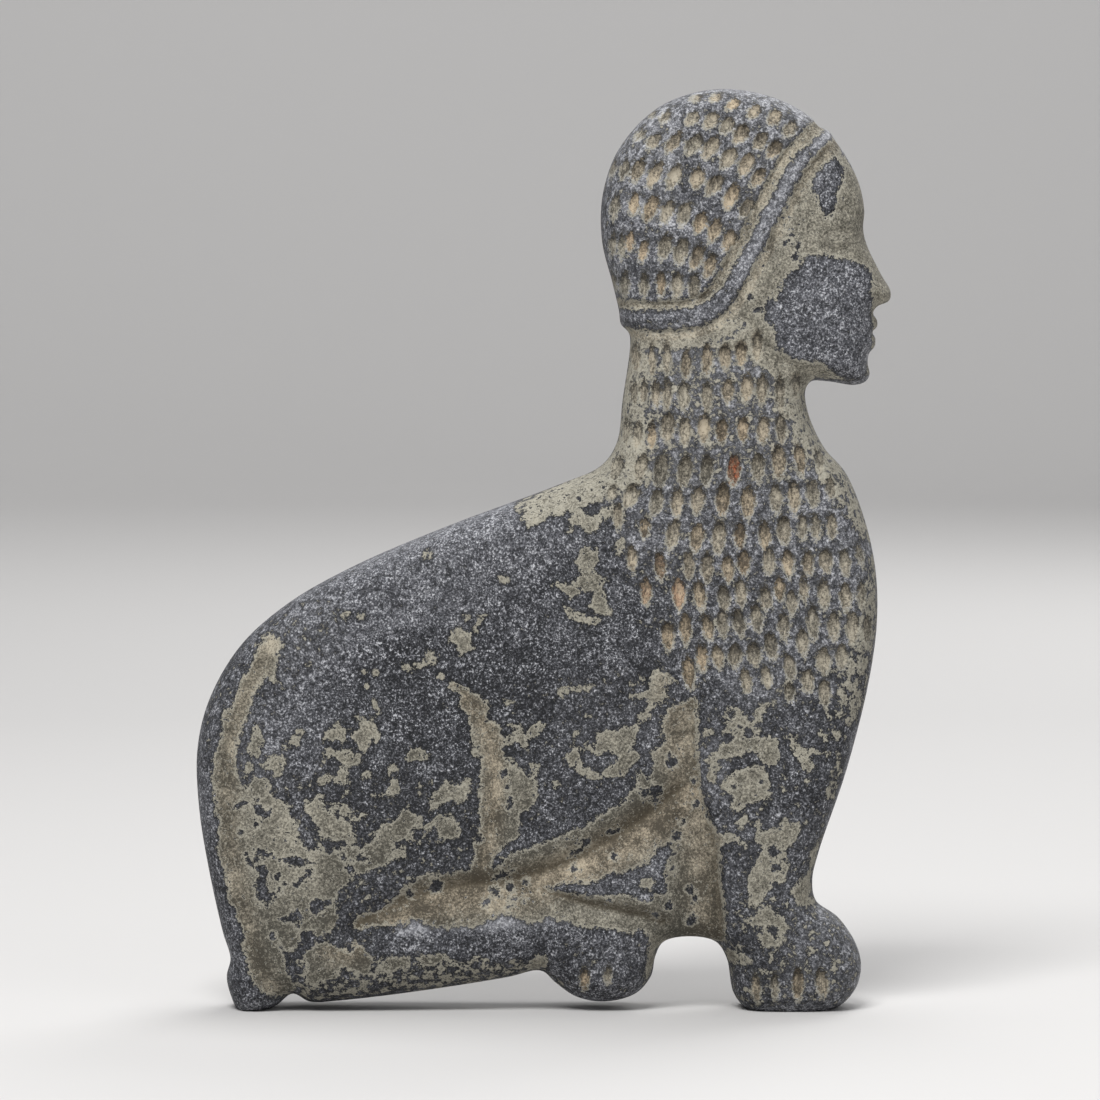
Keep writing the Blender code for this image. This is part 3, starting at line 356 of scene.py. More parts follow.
CRUST_ON_BODY = (
    walk(303, 805, 6, -3, 7, -6, 6, -2, 1, 8, 4, 8, 4, 1, 1, -7, 6, -3, 7, 2, 5, 7, 7, 4, 7, -2, 5, 3, -4,
         5, -9, 2, -4, 7, 5, 9, -7, 10, -20, 4, -12, -2, 0, -12, 0, -8, -5, -8, -4, -7, -5, -4),
    walk(303, 948, 9, -3, 10, -2, 10, 3, 10, 4, 5, -6, 7, -1, 8, 4, 4, 7, 7, 3, 1, 5, -4, 8, 2, 6, -12, 1,
         -8, -5, -9, 1, -5, 5, -8, 4, -12, 1, -6, 9, -6, -2, -4, -12, 4, -10, -4, -10),
    walk(376, 966, 4, -8, 10, 0, 8, -1, 10, 0, 3, 7, -5, 7, -10, 0, -10, 3, -8, 1),
    walk(416, 960, 4, -5, 8, 1, 8, -2, 8, 1, 5, 3, 0, 6, -9, 2, -8, 1, -8, 2, -7, -3),
    walk(521, 970, 9, -8, 8, -7, 7, 2, 3, 9, -3, 6, -15, 1),
    walk(254, 726, 4, -2, 2, 6, 3, 8, -1, 10, -2, 8, -6, 3, -5, -5, -3, -3, 5, -15),
    walk(245, 764, 5, -2, 2, 6, -5, 8, -3, 3, 0, -8),
    walk(268, 754, 8, 2, 7, -3, 2, 7, -2, 8, -3, 7, -6, 1, -3, -6, -9, -2, -3, -4, 7, -2),
    walk(280, 742, 5, 6, 3, 0, -5, -7),
    walk(288, 738, 5, -3, 5, -7, 4, 0, 2, 6, -4, 6, -3, 6, -7, -2),
    walk(354, 715, 6, 0, 4, 4, 8, 0, 4, 5, 1, 7, 5, 4, -5, 6, -5, -3, -5, 10, -6, 2, -3, -6, -4, -2, -4, -7,
         4, -6, 6, -2, -1, -5),
    walk(322, 737, 3, -6, 6, -3, 5, -7, 6, -1, 1, 6, 4, 5, -3, 3, 5, 6, 1, 6, -6, -4, -8, -2, -6, 0, -7, 3),
    walk(322, 753, 8, -7, 7, 5, 8, -3, 7, 4, 8, 0, 2, 6, -4, 6, -7, 1, -3, 6, 0, 7, -4, 6, -10, -2, -9, 2,
         -9, -2, 4, -6, 6, -3, 11, 5, 1, -8, 3, -6, -3, -7, -8, -2, -4, 6, -5, 5),
    walk(360, 776, 4, -4, 5, -2, 3, 6, -6, 1, -4, 4),
    walk(388, 768, 4, -6, 4, 0, 3, 6, -5, 4, -6, 2),
    walk(405, 757, 5, -11, 8, 2, 6, 2, 4, 4, 4, -2, -2, 5, -4, 3, -10, -1, -6, 3),
    walk(376, 797, 6, -5, 6, -4, 3, -9, 6, -1, 1, 8, 2, 8, -7, 3, -7, -1),
    walk(373, 697, 4, 5, 4, 8, -2, 6, -5, -4, -2, -8),
    walk(400, 662, 6, 3, 8, -1, 8, -4, 5, -8, 7, -1, 4, 6, -4, 6, -6, 1, -8, 3, -8, 4, -8, -1),
    walk(428, 800, 4, -8, 8, -4, 5, -9, 7, 2, 6, 4, 7, -6, 6, 0, -1, 11, -4, 8, -8, 7, -6, -6, -8, 2, -6, 5,
         -8, 4),
    walk(449, 632, 6, -2, 4, -3, 7, 5, 5, -2, 6, -10, 3, -8, 6, 1, -2, 6, -6, 5, -1, 6, -5, 6, -2, 7, 7, 5,
         -9, 3, -6, 5, -4, -5, -3, -8, -5, -2),
    walk(461, 616, 9, -3, 2, 4, -7, 3),
    walk(498, 575, 12, 0, 1, 9, -6, -1, -7, -5),
    walk(500, 697, 8, 1, 10, 4, -12, 2),
    walk(552, 585, 6, -6, 5, 4, 10, 0, 7, -11, -4, -12, 4, -9, 4, -6, 8, 2, 6, 0, 0, 13, -4, 9, 6, 6, 3, 15,
         9, 20, 0, 7, -12, -3, -11, -8, 5, -13, -12, -3, -12, 8, -8, -9),
    walk(564, 606, 8, 4, 8, 1, 10, 5, 11, 1, 0, 5, -9, 2, -12, -2, -8, -4, -6, -6),
    walk(602, 578, 6, -1, 2, 4, -6, 2),
    walk(567, 532, 2, -7, 3, -10, -2, -7, 10, -1, 6, 5, 6, 5, 6, -4, 2, -6, 12, -2, 11, -2, 4, 10, -3, 9,
         -6, 4, -3, -8, -10, -1, -5, 7, -3, 6, -7, 3, -6, -6, -8, -1, -4, 5),
    walk(613, 546, 4, -6, 8, -3, -1, 11, -4, 7, -5, -5),
)
CRUST_ON_SHOULDER = (
    walk(651, 672, 7, -6, 6, 6, 9, 0, 1, 5, -6, 6, -1, 7, 2, 6, -5, 2, -8, 6, -6, 8, -7, 7, -5, -4, 7, -6,
         4, -6, -4, -6, -14, 1, -1, -4, 6, -1, 7, -1, 5, -3, 1, -7),
    walk(597, 732, 6, -2, 7, -2, 7, 2, 6, -3, 8, 0, 6, -5, 3, -6, 6, -5, 6, 1, -2, 5, -6, 4, -4, 6, -4, 6,
         0, 12, -6, 3, 7, 3, 4, 4, -3, 5, -4, 4, -4, 5, -4, 6, -6, 3, -15, 0, -7, 1, -8, -1, -8, -1, -4, -5,
         -4, -5, -6, -2, -6, -7, 4, -4, 6, -4, 3, -6, 2, 6, 4, 7, 1, 8, 2, 3, 4, -3, 5, 5, 7, 2, 6, -4, 8,
         -5, 4, -6, -6, -5, -8, 0, -8, 3, -6, -2, -5, -5, -2, -5, 7, 2, 6, 2, 1, -7),
    walk(557, 688, 6, -2, 7, -1, 15, -1, 10, 0, -5, 6, -18, 1, -6, 3, -2, 6, -4, -3),
    walk(577, 713, 7, 1, 8, 0, -2, 6, -5, -2),
    walk(553, 782, 6, -2, 2, 5, -6, 2),
)
CRUST_ON_FORELEG = (
    walk(723, 714, 4, -7, 7, -2, 6, 4, 3, 6, 5, 0, 2, 5, 4, 0, -1, -5, -1, -3, 5, -3, 3, -4, 4, -4, 6, 0,
         -1, 8, -6, 5, -2, 6, -4, 3, -3, 3, 8, 2, -1, 8, 2, 1, 7, -3, 4, 3, 6, 3, -1, 8, 1, 8, -3, 8, -6, 2,
         -6, -1, -5, -6, -1, -5, -5, -4, -5, 1, -6, 2, -8, 3, -8, 4, -7, -1, -2, 3, 2, 5, -5, 6, 2, 9, -4,
         2, -6, -8, 2, -6, 1, -5, -4, -6, 6, -5, 6, -4, 2, -5, 4, -3, -1, -6, -2, -5, 5, -2, 1, -6, -2, -5),
    walk(702, 731, 5, -4, 6, 2, 3, 6, -6, 2, -6, -1),
    walk(720, 784, 7, -6, 5, -5, 9, -3, 8, -4, 7, -2, 6, 2, 3, 4, 3, 6, 3, 6, -3, 8, 3, 3, -4, 5, -10, 3,
         -8, 2, -4, 3, -7, 5, -6, -1, -1, -7, 2, -6, -6, -5),
    walk(790, 733, 8, 1, 1, 9, 4, 5, 6, 0, 11, 1, 9, 1, -2, 6, -7, -2, -10, 0, 0, 5, 3, 5, 2, 4, -5, 4, -7,
         -2, -1, -6, -3, -5, -3, -5, -4, -6, -2, -8),
    walk(818, 731, 6, 2, 5, 6, -3, 3, -6, -4),
    walk(832, 728, 5, 2, 4, 5, -3, 4, -5, -5),
    walk(778, 689, 6, -3, 2, -8, 6, 2, 1, 12, -3, 7, -7, -2),
    walk(825, 708, 5, 4, 4, 6, -5, 3),
    walk(736, 823, 5, -5, 6, -3, 3, 6, -5, 7, -6, -2),
    walk(757, 821, 3, -1, 2, 4, -1, 7, 9, -2, 9, -1, 3, -6, 5, -5, 4, 4, 8, 1, 2, 6, -2, 9, -7, 7, -5, 5,
         -1, 9, 3, 7, 0, 9, -3, 7, -5, 5, -5, -3, -3, 4, -2, 5, -6, 5, -2, 6, -6, 4, -7, 0, -2, -4, 2, -6,
         -3, -10, 2, -8, 1, -9, 5, -5, 5, -8, 5, -5, -5, -7, -4, -4, 1, -8),
    walk(745, 920, 7, -2, 6, -5, 5, -5, 7, -3, 5, 5, 1, 5, 7, 3, 6, 5, 2, 6, -5, 8, -2, 7, -6, 5, -7, 0, -8,
         0, -2, -7, -1, -5, -5, -3, 5, -3, -10, -5, -3, -2),
    walk(770, 953, 6, 5, -5, 7),
    walk(727, 952, 6, 1, 6, 2, 8, 0, 5, 8, -5, 5, -8, -2, -8, 1, -4, -4),
    walk(824, 839, -6, 5, -6, 8, -2, 11, 1, 8, -4, 7, -5, 5, -8, 4, -2, 7, 4, 5, 3, 8, 11, 2, 8, -2, -5, -7,
         -1, -10, 1, -12, 4, -15, 4, -14, 7, -13),
)
CRUST_ON_HEAD = walk(
    815, 127, 23, 23, 24, 26, 22, 30, 21, 34, 7, 30, -12, 22, -8, 28, -6, 30, -10, 22, -26, 8, -35, -2, -15,
    22, -16, -8, -16, -20, -20, -16, -20, -7, -23, -3, -25, 3, -48, 0, 2, -16, 26, 1, 30, -2, 22, -6, 21,
    -14, 13, -22, 11, -22, 15, -23, 14, -23, 13, -26, 12, -24, 7, -20, -6, -14,
)
CRUST_DOTS = (
    (375, 673, 4), (364, 672, 2), (308, 663, 3), (367, 686, 2), (345, 615, 4), (360, 615, 4),
    (427, 555, 5), (444, 705, 3), (441, 675, 3), (575, 734, 3.5), (642, 678, 2.5), (632, 683, 2.5),
)

# Dark stone that shows through the crust.
BARE_PATCHES = (
    walk(545, 888, 9, 0, 6, -3, 9, 0, 8, -2, 8, 2, 7, -2, 8, 0, 4, -6, 7, -3, 7, 1, 9, -3, 8, -4, 7, -2, 8,
         -4, 4, -6, 2, -8, 7, -1, 6, -2, 4, 7, -4, 6, -3, 7, -1, 9, 0, 6, 3, 10, 1, 4, -9, 1, -5, -2, -5, 3,
         0, 6, -7, 0, -5, -3, -7, -4, -10, 0, -13, 0, -8, 1, -10, 1, -6, -2, -11, -1, -10, -1, -9, -3),
    walk(765, 309, 2, -8, 9, -2, 7, -11, 2, -11, 4, -6, 9, -2, 3, -7, 5, -7, 14, 0, 12, 2, 14, 3, 16, 3, 10,
         12, 0, 25, 2, 40, -2, 22, -10, 20, -20, -5, -13, -8, -9, -8, -20, -1, -10, -3, -6, -3, -7, -4, -3,
         -5, 3, -9, -5, -11, -8, -8),
    walk(811, 180, 2, -8, 12, -7, 10, -7, 8, 7, -1, 15, -4, 10, -4, 15, -4, 12, -6, -2, -6, -15, -7, -10),
    walk(233, 805, 5, -4, 7, -1, 3, 4, -5, 4, -6, 0),
    walk(253, 806, 5, -3, 6, 7, 6, -2, 0, 7, -6, 4, -8, -5),
    walk(254, 851, 6, -3, 6, 5, 7, -1, 2, 6, -7, -3, -12, 3),
    walk(283, 860, 5, -4, 8, -1, 5, 5, 8, -2, 0, 5, -8, 3, -11, 0),
    walk(244, 853, 3, -1, 3, 10, 4, 6, -3, 3, -5, -9),
    walk(253, 866, 5, -3, 6, 4, 3, 8, -2, 11, 3, 10, 4, 4, -6, 5, -8, -3, -4, -10, 1, -10, 4, -6),
    walk(292, 884, 4, -2, 7, -6, 5, -8, 5, 2, -5, 7, -8, 4, -5, 6),
    walk(308, 905, 6, -4, 8, 0, 8, -1, 1, 5, -9, 5, -8, 5, -5, -3),
    walk(280, 919, 6, -2, 5, -4, 8, -2, 2, 7, -4, 5, 3, 7, -5, -2, -5, -7, -7, 1),
    walk(270, 934, 4, -1, 1, 7, -5, 0),
    walk(300, 934, 10, -2, 3, 6, -1, 12, -8, 3, -4, -5),
    walk(284, 954, 12, -3, 4, 9, 3, 10, -3, 6, 8, 9, 4, 15, -12, 0, -8, -15, -6, -13),
    walk(318, 940, 7, -4, 8, -3, 5, 4, -8, 3, -7, 4),
    walk(319, 842, 7, -4, 10, 4, 8, -1, 2, 4, -8, 4, -10, 3, -7, -4),
    walk(356, 857, 5, -4, 5, 3, -1, 5, -7, 0),
    walk(345, 868, 5, -4, 3, 4, -4, 5),
    walk(333, 813, 4, -2, 4, 3, -3, 4),
    walk(410, 831, 7, -5, 6, 3, 4, 5, -5, 2, -4, 6, -6, -6),
    walk(427, 832, 7, -3, 6, 4, -2, 6, -8, 2, -4, -3),
    walk(377, 956, 3, 6, 3, 6, -6, 0),
)
CRUST_ISLAND = walk(638, 886, 5, -6, 9, -2, 4, 4, -6, 8, -7, 0)

# Dark pits in the crust: x, y and reach in squares.
DARK_PITS = (
    (257, 799, 2), (256, 824, 3), (239, 833, 3), (276, 877, 2.5), (278, 891, 2), (283, 885, 2),
    (343, 858, 3), (347, 818, 2), (343, 972, 4), (348, 950, 3), (246, 785, 2.5), (585, 843, 4.5),
    (645, 793, 4), (655, 800, 3.5), (656, 790, 6), (672, 762, 5), (670, 755, 2), (683, 822, 2.5),
    (677, 837, 4), (694, 781, 2), (697, 803, 2.5), (497, 878, 3), (436, 887, 6), (409, 894, 4),
    (495, 892, 4), (510, 888, 4), (526, 882, 2), (487, 902, 2), (508, 908, 2), (609, 900, 2),
    (656, 917, 3), (670, 908, 4), (692, 892, 4), (695, 900, 2), (692, 922, 5), (673, 870, 2.5),
    (675, 855, 2), (614, 856, 3), (574, 870, 3), (723, 850, 3), (725, 857, 3), (504, 773, 3),
    (508, 787, 2), (510, 800, 2.5), (510, 807, 2), (478, 770, 3), (732, 714, 4), (741, 727, 2.5),
    (728, 736, 5), (749, 733, 5), (762, 782, 3.5), (734, 786, 3), (773, 851, 6), (777, 868, 4),
    (776, 885, 3), (786, 859, 2.5), (774, 932, 5.5), (759, 931, 5), (784, 694, 2), (796, 960, 4),
    (782, 957, 3), (795, 258, 4), (785, 243, 2.5), (798, 245, 2.5), (790, 234, 2), (749, 297, 3),
    (757, 310, 2.5), (745, 325, 3), (328, 763, 3), (332, 773, 3),
)

# Thin dark streaks in the crust: a line and its width in squares.
DARK_STREAKS: tuple[tuple[Loop, float], ...] = (
    (((608, 834), (617, 831)), 3.0), (((497, 878), (513, 872)), 3.0), (((510, 900), (527, 901)), 2.6),
    (((641, 269), (659, 269)), 2.0), (((595, 487), (620, 484), (640, 478)), 2.4),
    (((687, 600), (700, 603)), 2.4), (((705, 343), (715, 341), (730, 337), (745, 325)), 2.2),
    (((484, 905), (494, 901)), 2.2), (((571, 856), (583, 849)), 2.4),
)

# Where thin crust mottles the stone: a loop, how much of the stone it hides from 0 to 1, and how far the
# mottling fades outside the loop, in millimetres.
MOTTLED: tuple[Zone, ...] = (
    (walk(608, 330, 92, 0, 60, 0, 40, 50, 12, 40, 23, 40, 15, 18, -250, 0, -40, 14, 40, -32, 25, -40, 7,
          -50), 0.42, 5),
    (walk(600, 478, 250, 0, 24, 62, 2, 60, -8, 90, -68, 10, -100, -10, -50, -70, -22, -60), 0.26, 6),
    (walk(519, 508, 16, -8, 27, -14, 27, -12, 19, -14, 10, -20, 7, -40, 8, -58, 12, 18, 0, 20, -5, 35, 5,
          45, 5, 18, -30, 14, -38, 10, -32, 14, -22, 8), 0.74, 2.5),
    (walk(777, 381, 23, -13, 6, 17, 5, 30, 17, 30, 21, 27, 14, 36, 9, 32, -12, -10, -17, -27, -17, -23, -25,
          -36, -17, -32), 0.68, 3),
    (walk(841, 690, 2, -10, 9, -20, 12, -60, 10, -40, 2, 60, -14, 80, -10, 25, -14, -11), 0.6, 3),
    (walk(838, 762, 4, 6, -4, 17, -4, 15, -6, -4, 2, -16), 0.55, 2),
    (walk(606, 180, 14, -40, 40, -35, 60, -13, 60, 13, 32, 23, -42, 57, -48, 83, -32, 30, -70, 7, -17,
          -65), 0.24, 4),
    (walk(205, 700, 55, -60, 70, -40, 0, 40, -60, 60, -30, 60, -25, 0), 0.26, 8),
    (walk(230, 780, 100, 0, 140, 10, 0, 60, -70, 50, -60, 90, -80, 0), 0.3, 6),
    (walk(300, 965, 120, -3, 100, 3, 40, 25, -140, 2, -120, 10), 0.5, 3),
    (walk(700, 700, 150, 0, -20, 100, -20, 100, -80, 0, -25, -100), 0.27, 5),
    (walk(560, 940, 90, -10, 0, 55, -50, 15, -40, -15), 0.2, 3),
    (walk(735, 900, 95, 5, 32, 55, -12, 45, -115, 0), 0.36, 4),
    (walk(480, 690, 180, -30, 30, 40, -50, 90, -100, 40, -50, -30), 0.22, 6),
)

# Where the stone is paler than the flank, or darker: a loop, by how much, and how far it fades outside.
PALER: tuple[Zone, ...] = (
    (walk(606, 180, 14, -40, 40, -35, 60, -17, 60, 12, 50, 35, -45, 80, -45, 85, -40, 30, -82, 0, -18,
          -90), 0.8, 2),
    (walk(735, 130, 55, -30, 45, 35, -45, 80, -40, 55, -30, -20, 30, -50), 1.1, 5),
    (walk(606, 180, 14, -40, 50, -30, 10, 40, -10, 70, -30, 5), 1.2, 4),
    (walk(632, 335, 128, 0, 40, 55, 40, 80, -220, 20, 5, -70), 1.15, 8),
    (walk(620, 470, 220, 0, 30, 70, -10, 20, -220, 0), 0.85, 8),
    (walk(640, 550, 230, -10, 0, 100, -30, 50, -120, -10, -50, -40), 0.38, 8),
    (walk(770, 580, 100, -20, -2, 90, -88, 0), 0.75, 5),
    (oblong(690, 740, 722, 800), 0.9, 3),
    (walk(270, 640, 60, -50, 15, 50, -55, 50), 0.7, 5),
    (walk(230, 720, 40, -20, 10, 80, -40, 0), 0.6, 5),
    (walk(300, 600, 120, -70, 100, -35, 40, 45, -80, 60, -80, 10, -70, 40), 0.42, 8),
    (walk(715, 620, 85, 20, -20, 60, -45, -10), 0.85, 5),
    (walk(205, 690, 35, 0, -8, 140, -27, 0), 0.45, 4),
    (oblong(645, 838, 685, 875), 0.55, 3),
    (walk(540, 872, 100, -22, 0, 55, -100, 0), 0.35, 3),
    (oblong(735, 820, 820, 900), 0.3, 4),
    (walk(670, 330, 95, 0, -5, 55, -90, 0), 1.5, 5),
    (walk(240, 610, 70, -10, 20, 60, -30, 80, -50, 20, -20, -60), 0.26, 8),
    (walk(760, 255, 110, 0, 10, 125, -100, -10), 0.4, 2),
    (walk(800, 905, 65, 25, 0, 75, -75, 0), 0.82, 8),
    (walk(400, 914, 70, -10, 90, -4, 95, 6, 0, 19, -95, -5, -90, 6, -70, 4), 1.45, 3),
    (walk(490, 580, 150, 5, 10, 115, -130, 20, -50, -50), -0.22, 10),
    (walk(390, 650, 150, 0, 0, 90, -140, 5), -0.62, 8),
    (walk(370, 660, 100, -15, 30, 55, -10, 130, -70, 30, -70, -20, -5, -80), -0.38, 8),
    (oblong(560, 690, 690, 750), 0.26, 6),
    (oblong(715, 690, 760, 740), 0.22, 5),
    (oblong(725, 625, 850, 665), 0.2, 5),
    (oblong(730, 850, 830, 925), 0.3, 6),
    (oblong(605, 940, 650, 985), 0.35, 4),
    (walk(320, 590, 80, -28, 5, 53, -70, 25), 0.28, 6),
    (walk(690, 680, 40, 0, 10, 70, -40, 10), -0.06, 6),
    (walk(430, 800, 270, -20, -40, 80, -230, 0), -0.1, 8),
)

# Where the crust is paler than elsewhere, or darker: a loop, by how much, and how far it fades outside.
CRUST_TONES: tuple[Zone, ...] = (
    (walk(740, 300, 50, -100, 30, -80, 60, 40, 30, 100, -30, 120, -100, 10, -40, -40), 0.2, 4),
    (walk(600, 330, 140, 0, 30, 90, -130, 30, -40, -50), 1, 6),
    (walk(595, 440, 45, 10, 0, 50, -80, 25, -40, 5, -10, -30), 0.8, 6),
    (walk(780, 430, 80, 40, 16, 90, -6, 30, -70, -10), 0.5, 6),
    (walk(700, 500, 90, 0, 0, 70, -150, 10, 10, -60), 0.4, 6),
    (walk(620, 150, 80, -60, 100, 20, -20, 70, -60, 60, -80, -20), 0.8, 6),
    (walk(740, 660, 120, -20, -20, 160, -20, 100, -70, 0), 0.22, 6),
    (oblong(250, 805, 310, 870), 0.55, 5),
    (oblong(690, 585, 770, 640), -0.7, 4),
    (oblong(330, 850, 480, 905), -1.1, 5),
    (walk(400, 740, 40, 0, -5, 120, -35, 0), -1, 4),
    (oblong(480, 690, 560, 790), -0.45, 5),
    (oblong(690, 300, 715, 345), -0.7, 3),
    (walk(205, 740, 45, 0, 20, 160, 20, 80, -60, 0, -20, -140), -0.5, 6),
    (walk(360, 880, 120, -50, 160, -50, 30, 40, -70, 80, -130, -10, -90, 25), -0.12, 6),
    (walk(430, 845, 90, -35, 130, -45, 10, 35, -100, 40, -90, 40, -40, 10), -1.05, 5),
    (walk(662, 690, 40, 0, 10, 170, -44, 0), -0.55, 4),
    (walk(668, 900, 32, -20, 35, 5, 5, 60, -50, 0, -22, -15), -1.3, 4),
    (walk(630, 905, 38, -5, 4, 30, -42, 5), -0.8, 4),
    (walk(260, 930, 70, -20, 110, 20, -10, 70, -160, 0), -1.2, 8),
    (walk(735, 950, 115, 10, 0, 45, -115, 0), -0.5, 5),
)

# The creases that get painted shade: the stroke, how far the shade reaches, and how dark it is.
SHADED_CREASES = ((THIGH, 5.0, 0.72), (SHIN, 4.0, 0.66), (FORELEG, 2.4, 0.42))
# The recesses where warm soil stayed: the stroke, how far to its left the soil lies, and how warm it is.
WARM_RECESSES = (
    (THIGH, -2.6, 0.21), (HAUNCH, 0.0, 0.19), (FORELEG, -3.0, 0.17), (TAIL, 0.0, 0.14),
)


def spline(points: Points, step: float, closed: bool) -> Points:
    """Samples a centripetal Catmull-Rom curve through points.

    Args:
        points: The curve's own points, (x, z).
        step: The distance between two samples, about.
        closed: Whether the last point is joined to the first.

    Returns:
        The samples, in order.
    """
    points = np.asarray(points, dtype=float)
    count = len(points)
    if closed:
        wheel = np.vstack([points[-1:], points, points[:2]])
    else:
        wheel = np.vstack([2.0 * points[0] - points[1], points, 2.0 * points[-1] - points[-2]])
    samples = []
    for index in range(count if closed else count - 1):
        level = list(wheel[index:index + 4])
        gaps = [np.linalg.norm(after - before) for before, after in zip(level, level[1:])]
        knots = [0.0]
        for gap in gaps:
            knots.append(knots[-1] + math.sqrt(gap))
        t = np.linspace(knots[1], knots[2], max(2, int(gaps[1] / step)), endpoint=False)[:, None]
        for spans in (((0, 1), (1, 2), (2, 3)), ((0, 2), (1, 3)), ((1, 2),)):
            pairs = [(knots[i], knots[j], *ends) for (i, j), ends in zip(spans, zip(level, level[1:]))]
            level = [(t1 - t) / (t1 - t0) * a + (t - t0) / (t1 - t0) * b for t0, t1, a, b in pairs]
        samples.append(level[0])
    if not closed:
        samples.append(points[-1:])
    return np.vstack(samples)


def evenly(samples: Points, spacing: float, closed: bool = True) -> Points:
    """Resamples a curve at even spacing.

    Args:
        samples: The curve's samples.
        spacing: The distance between two new samples, about.
        closed: Whether the last sample is joined to the first.

    Returns:
        The new points.
    """
    path = np.vstack([samples, samples[:1]]) if closed else samples
    run = np.concatenate([[0.0], np.cumsum(np.linalg.norm(np.diff(path, axis=0), axis=1))])
    stations = np.linspace(0.0, run[-1], int(run[-1] / spacing), endpoint=not closed)
    return np.stack([np.interp(stations, run, path[:, axis]) for axis in (0, 1)], axis=1)


def eased(value: Values, low: float, high: float) -> Values:
    """Rises smoothly from 0 at low to 1 at high."""
    share = np.clip((value - low) / (high - low), 0.0, 1.0)
    return share * share * (3.0 - 2.0 * share)


def mixed(stations: tuple[float, ...], share: Values) -> Values:
    """The value at a share of the way along a line, from values at even stations."""
    return np.interp(share, np.linspace(0.0, 1.0, len(stations)), stations)


def turned(count: int) -> Values:
    """Even turns of a full circle, in radians."""
    return np.arange(count) * 2.0 * math.pi / count


def in_chunks(work: Callable[[Points], Values], points: Points, size: int = 4000) -> Values:
    """Runs work on the points a few thousand at a time, to spare memory, and joins its rows."""
    return np.concatenate([work(points[i:i + size]) for i in range(0, max(1, len(points)), size)])


def close_to(points: Points, line: Points, reach: float) -> Values:
    """Finds the numbers of the points in the upright box that lies reach around a line."""
    low, high = line.min(axis=0) - reach, line.max(axis=0) + reach
    return np.flatnonzero(((points > low) & (points < high)).all(axis=1))


def near_line(points: Points, line: Points) -> tuple[Values, Values]:
    """Finds the points' signed distances to a line, left positive, and how far along it each is.

    Args:
        points: The points, (x, z).
        line: The line's samples.

    Returns:
        The signed distances in millimetres, and the shares of the line's length from 0 to 1.
    """
    starts = line[:-1]
    spans = line[1:] - starts
    lengths = np.linalg.norm(spans, axis=1)
    run = np.concatenate([[0.0], np.cumsum(lengths)])

    def work(some: Points) -> Values:
        """Measures one chunk: a row of a distance and a share for each of some points."""
        rel = some[:, None, :] - starts[None, :, :]
        share = np.clip((rel * spans).sum(axis=2) / lengths**2, 0.0, 1.0)
        gap = rel - share[:, :, None] * spans
        distance = np.linalg.norm(gap, axis=2)
        nearest = distance.argmin(axis=1)
        rows = np.arange(len(some))
        side = spans[nearest, 0] * rel[rows, nearest, 1] - spans[nearest, 1] * rel[rows, nearest, 0]
        travelled = (run[nearest] + share[rows, nearest] * lengths[nearest]) / run[-1]
        signed = np.where(side < 0, -1.0, 1.0) * distance[rows, nearest]
        return np.stack([signed, travelled], axis=1)

    found = in_chunks(work, points)
    return found[:, 0], found[:, 1]


def inside(points: Points, outline: Points) -> Values:
    """Tests whether each point is inside a closed outline.

    Args:
        points: The points, (x, z).
        outline: The outline's corners.

    Returns:
        True for each point inside.
    """
    ends = np.roll(outline, -1, axis=0)
    crossed = np.zeros(len(points), dtype=bool)
    for (x0, z0), (x1, z1) in zip(outline, ends):
        if z0 == z1:
            continue
        spans = (z0 > points[:, 1]) != (z1 > points[:, 1])
        crossed ^= spans & (points[:, 0] < x0 + (points[:, 1] - z0) * (x1 - x0) / (z1 - z0))
    return crossed


def depth_in_loop(points: Points, loop: Points, reach: float) -> Values:
    """Measures how deep each point is inside a closed loop.

    Args:
        points: The points, (x, z).
        loop: The loop's corners.
        reach: How far outside the loop is still measured.

    Returns:
        Millimetres inside, negative outside, and -reach far away.
    """
    found = np.full(len(points), -float(reach))
    close = close_to(points, loop, reach)
    if len(close):
        away = np.abs(near_line(points[close], np.vstack([loop, loop[:1]]))[0])
        found[close] = np.maximum(np.where(inside(points[close], loop), away, -away), -reach)
    return found


@dataclass
class Waves:
    """A smooth random field, made of sine waves that run every way.

    Fields:
        wavelength: The waves' middle wavelength, in millimetres.
        spread: The shortest and the longest wave, as shares of it.
    """

    wavelength: float
    seed: int
    count: int = 24
    spread: Pair = (0.65, 1.6)
    strength: float = 0.6

    def values(self, points: Points) -> Values:
        """Sums the waves at points.

        Args:
            points: The points, (x, z).

        Returns:
            Values mostly between -1 and 1.
        """
        chance = np.random.default_rng(self.seed)
        turn = chance.uniform(0.0, 2.0 * math.pi, self.count)
        pace = 2.0 * math.pi / (self.wavelength * chance.uniform(*self.spread, self.count))
        phase = chance.uniform(0.0, 2.0 * math.pi, self.count)
        total = np.zeros(len(points))
        for angle, rate, start in zip(turn, pace, phase):
            total += np.sin(rate * (points[:, 0] * math.cos(angle) + points[:, 1] * math.sin(angle)) + start)
        return total * math.sqrt(2.0 / self.count) * self.strength


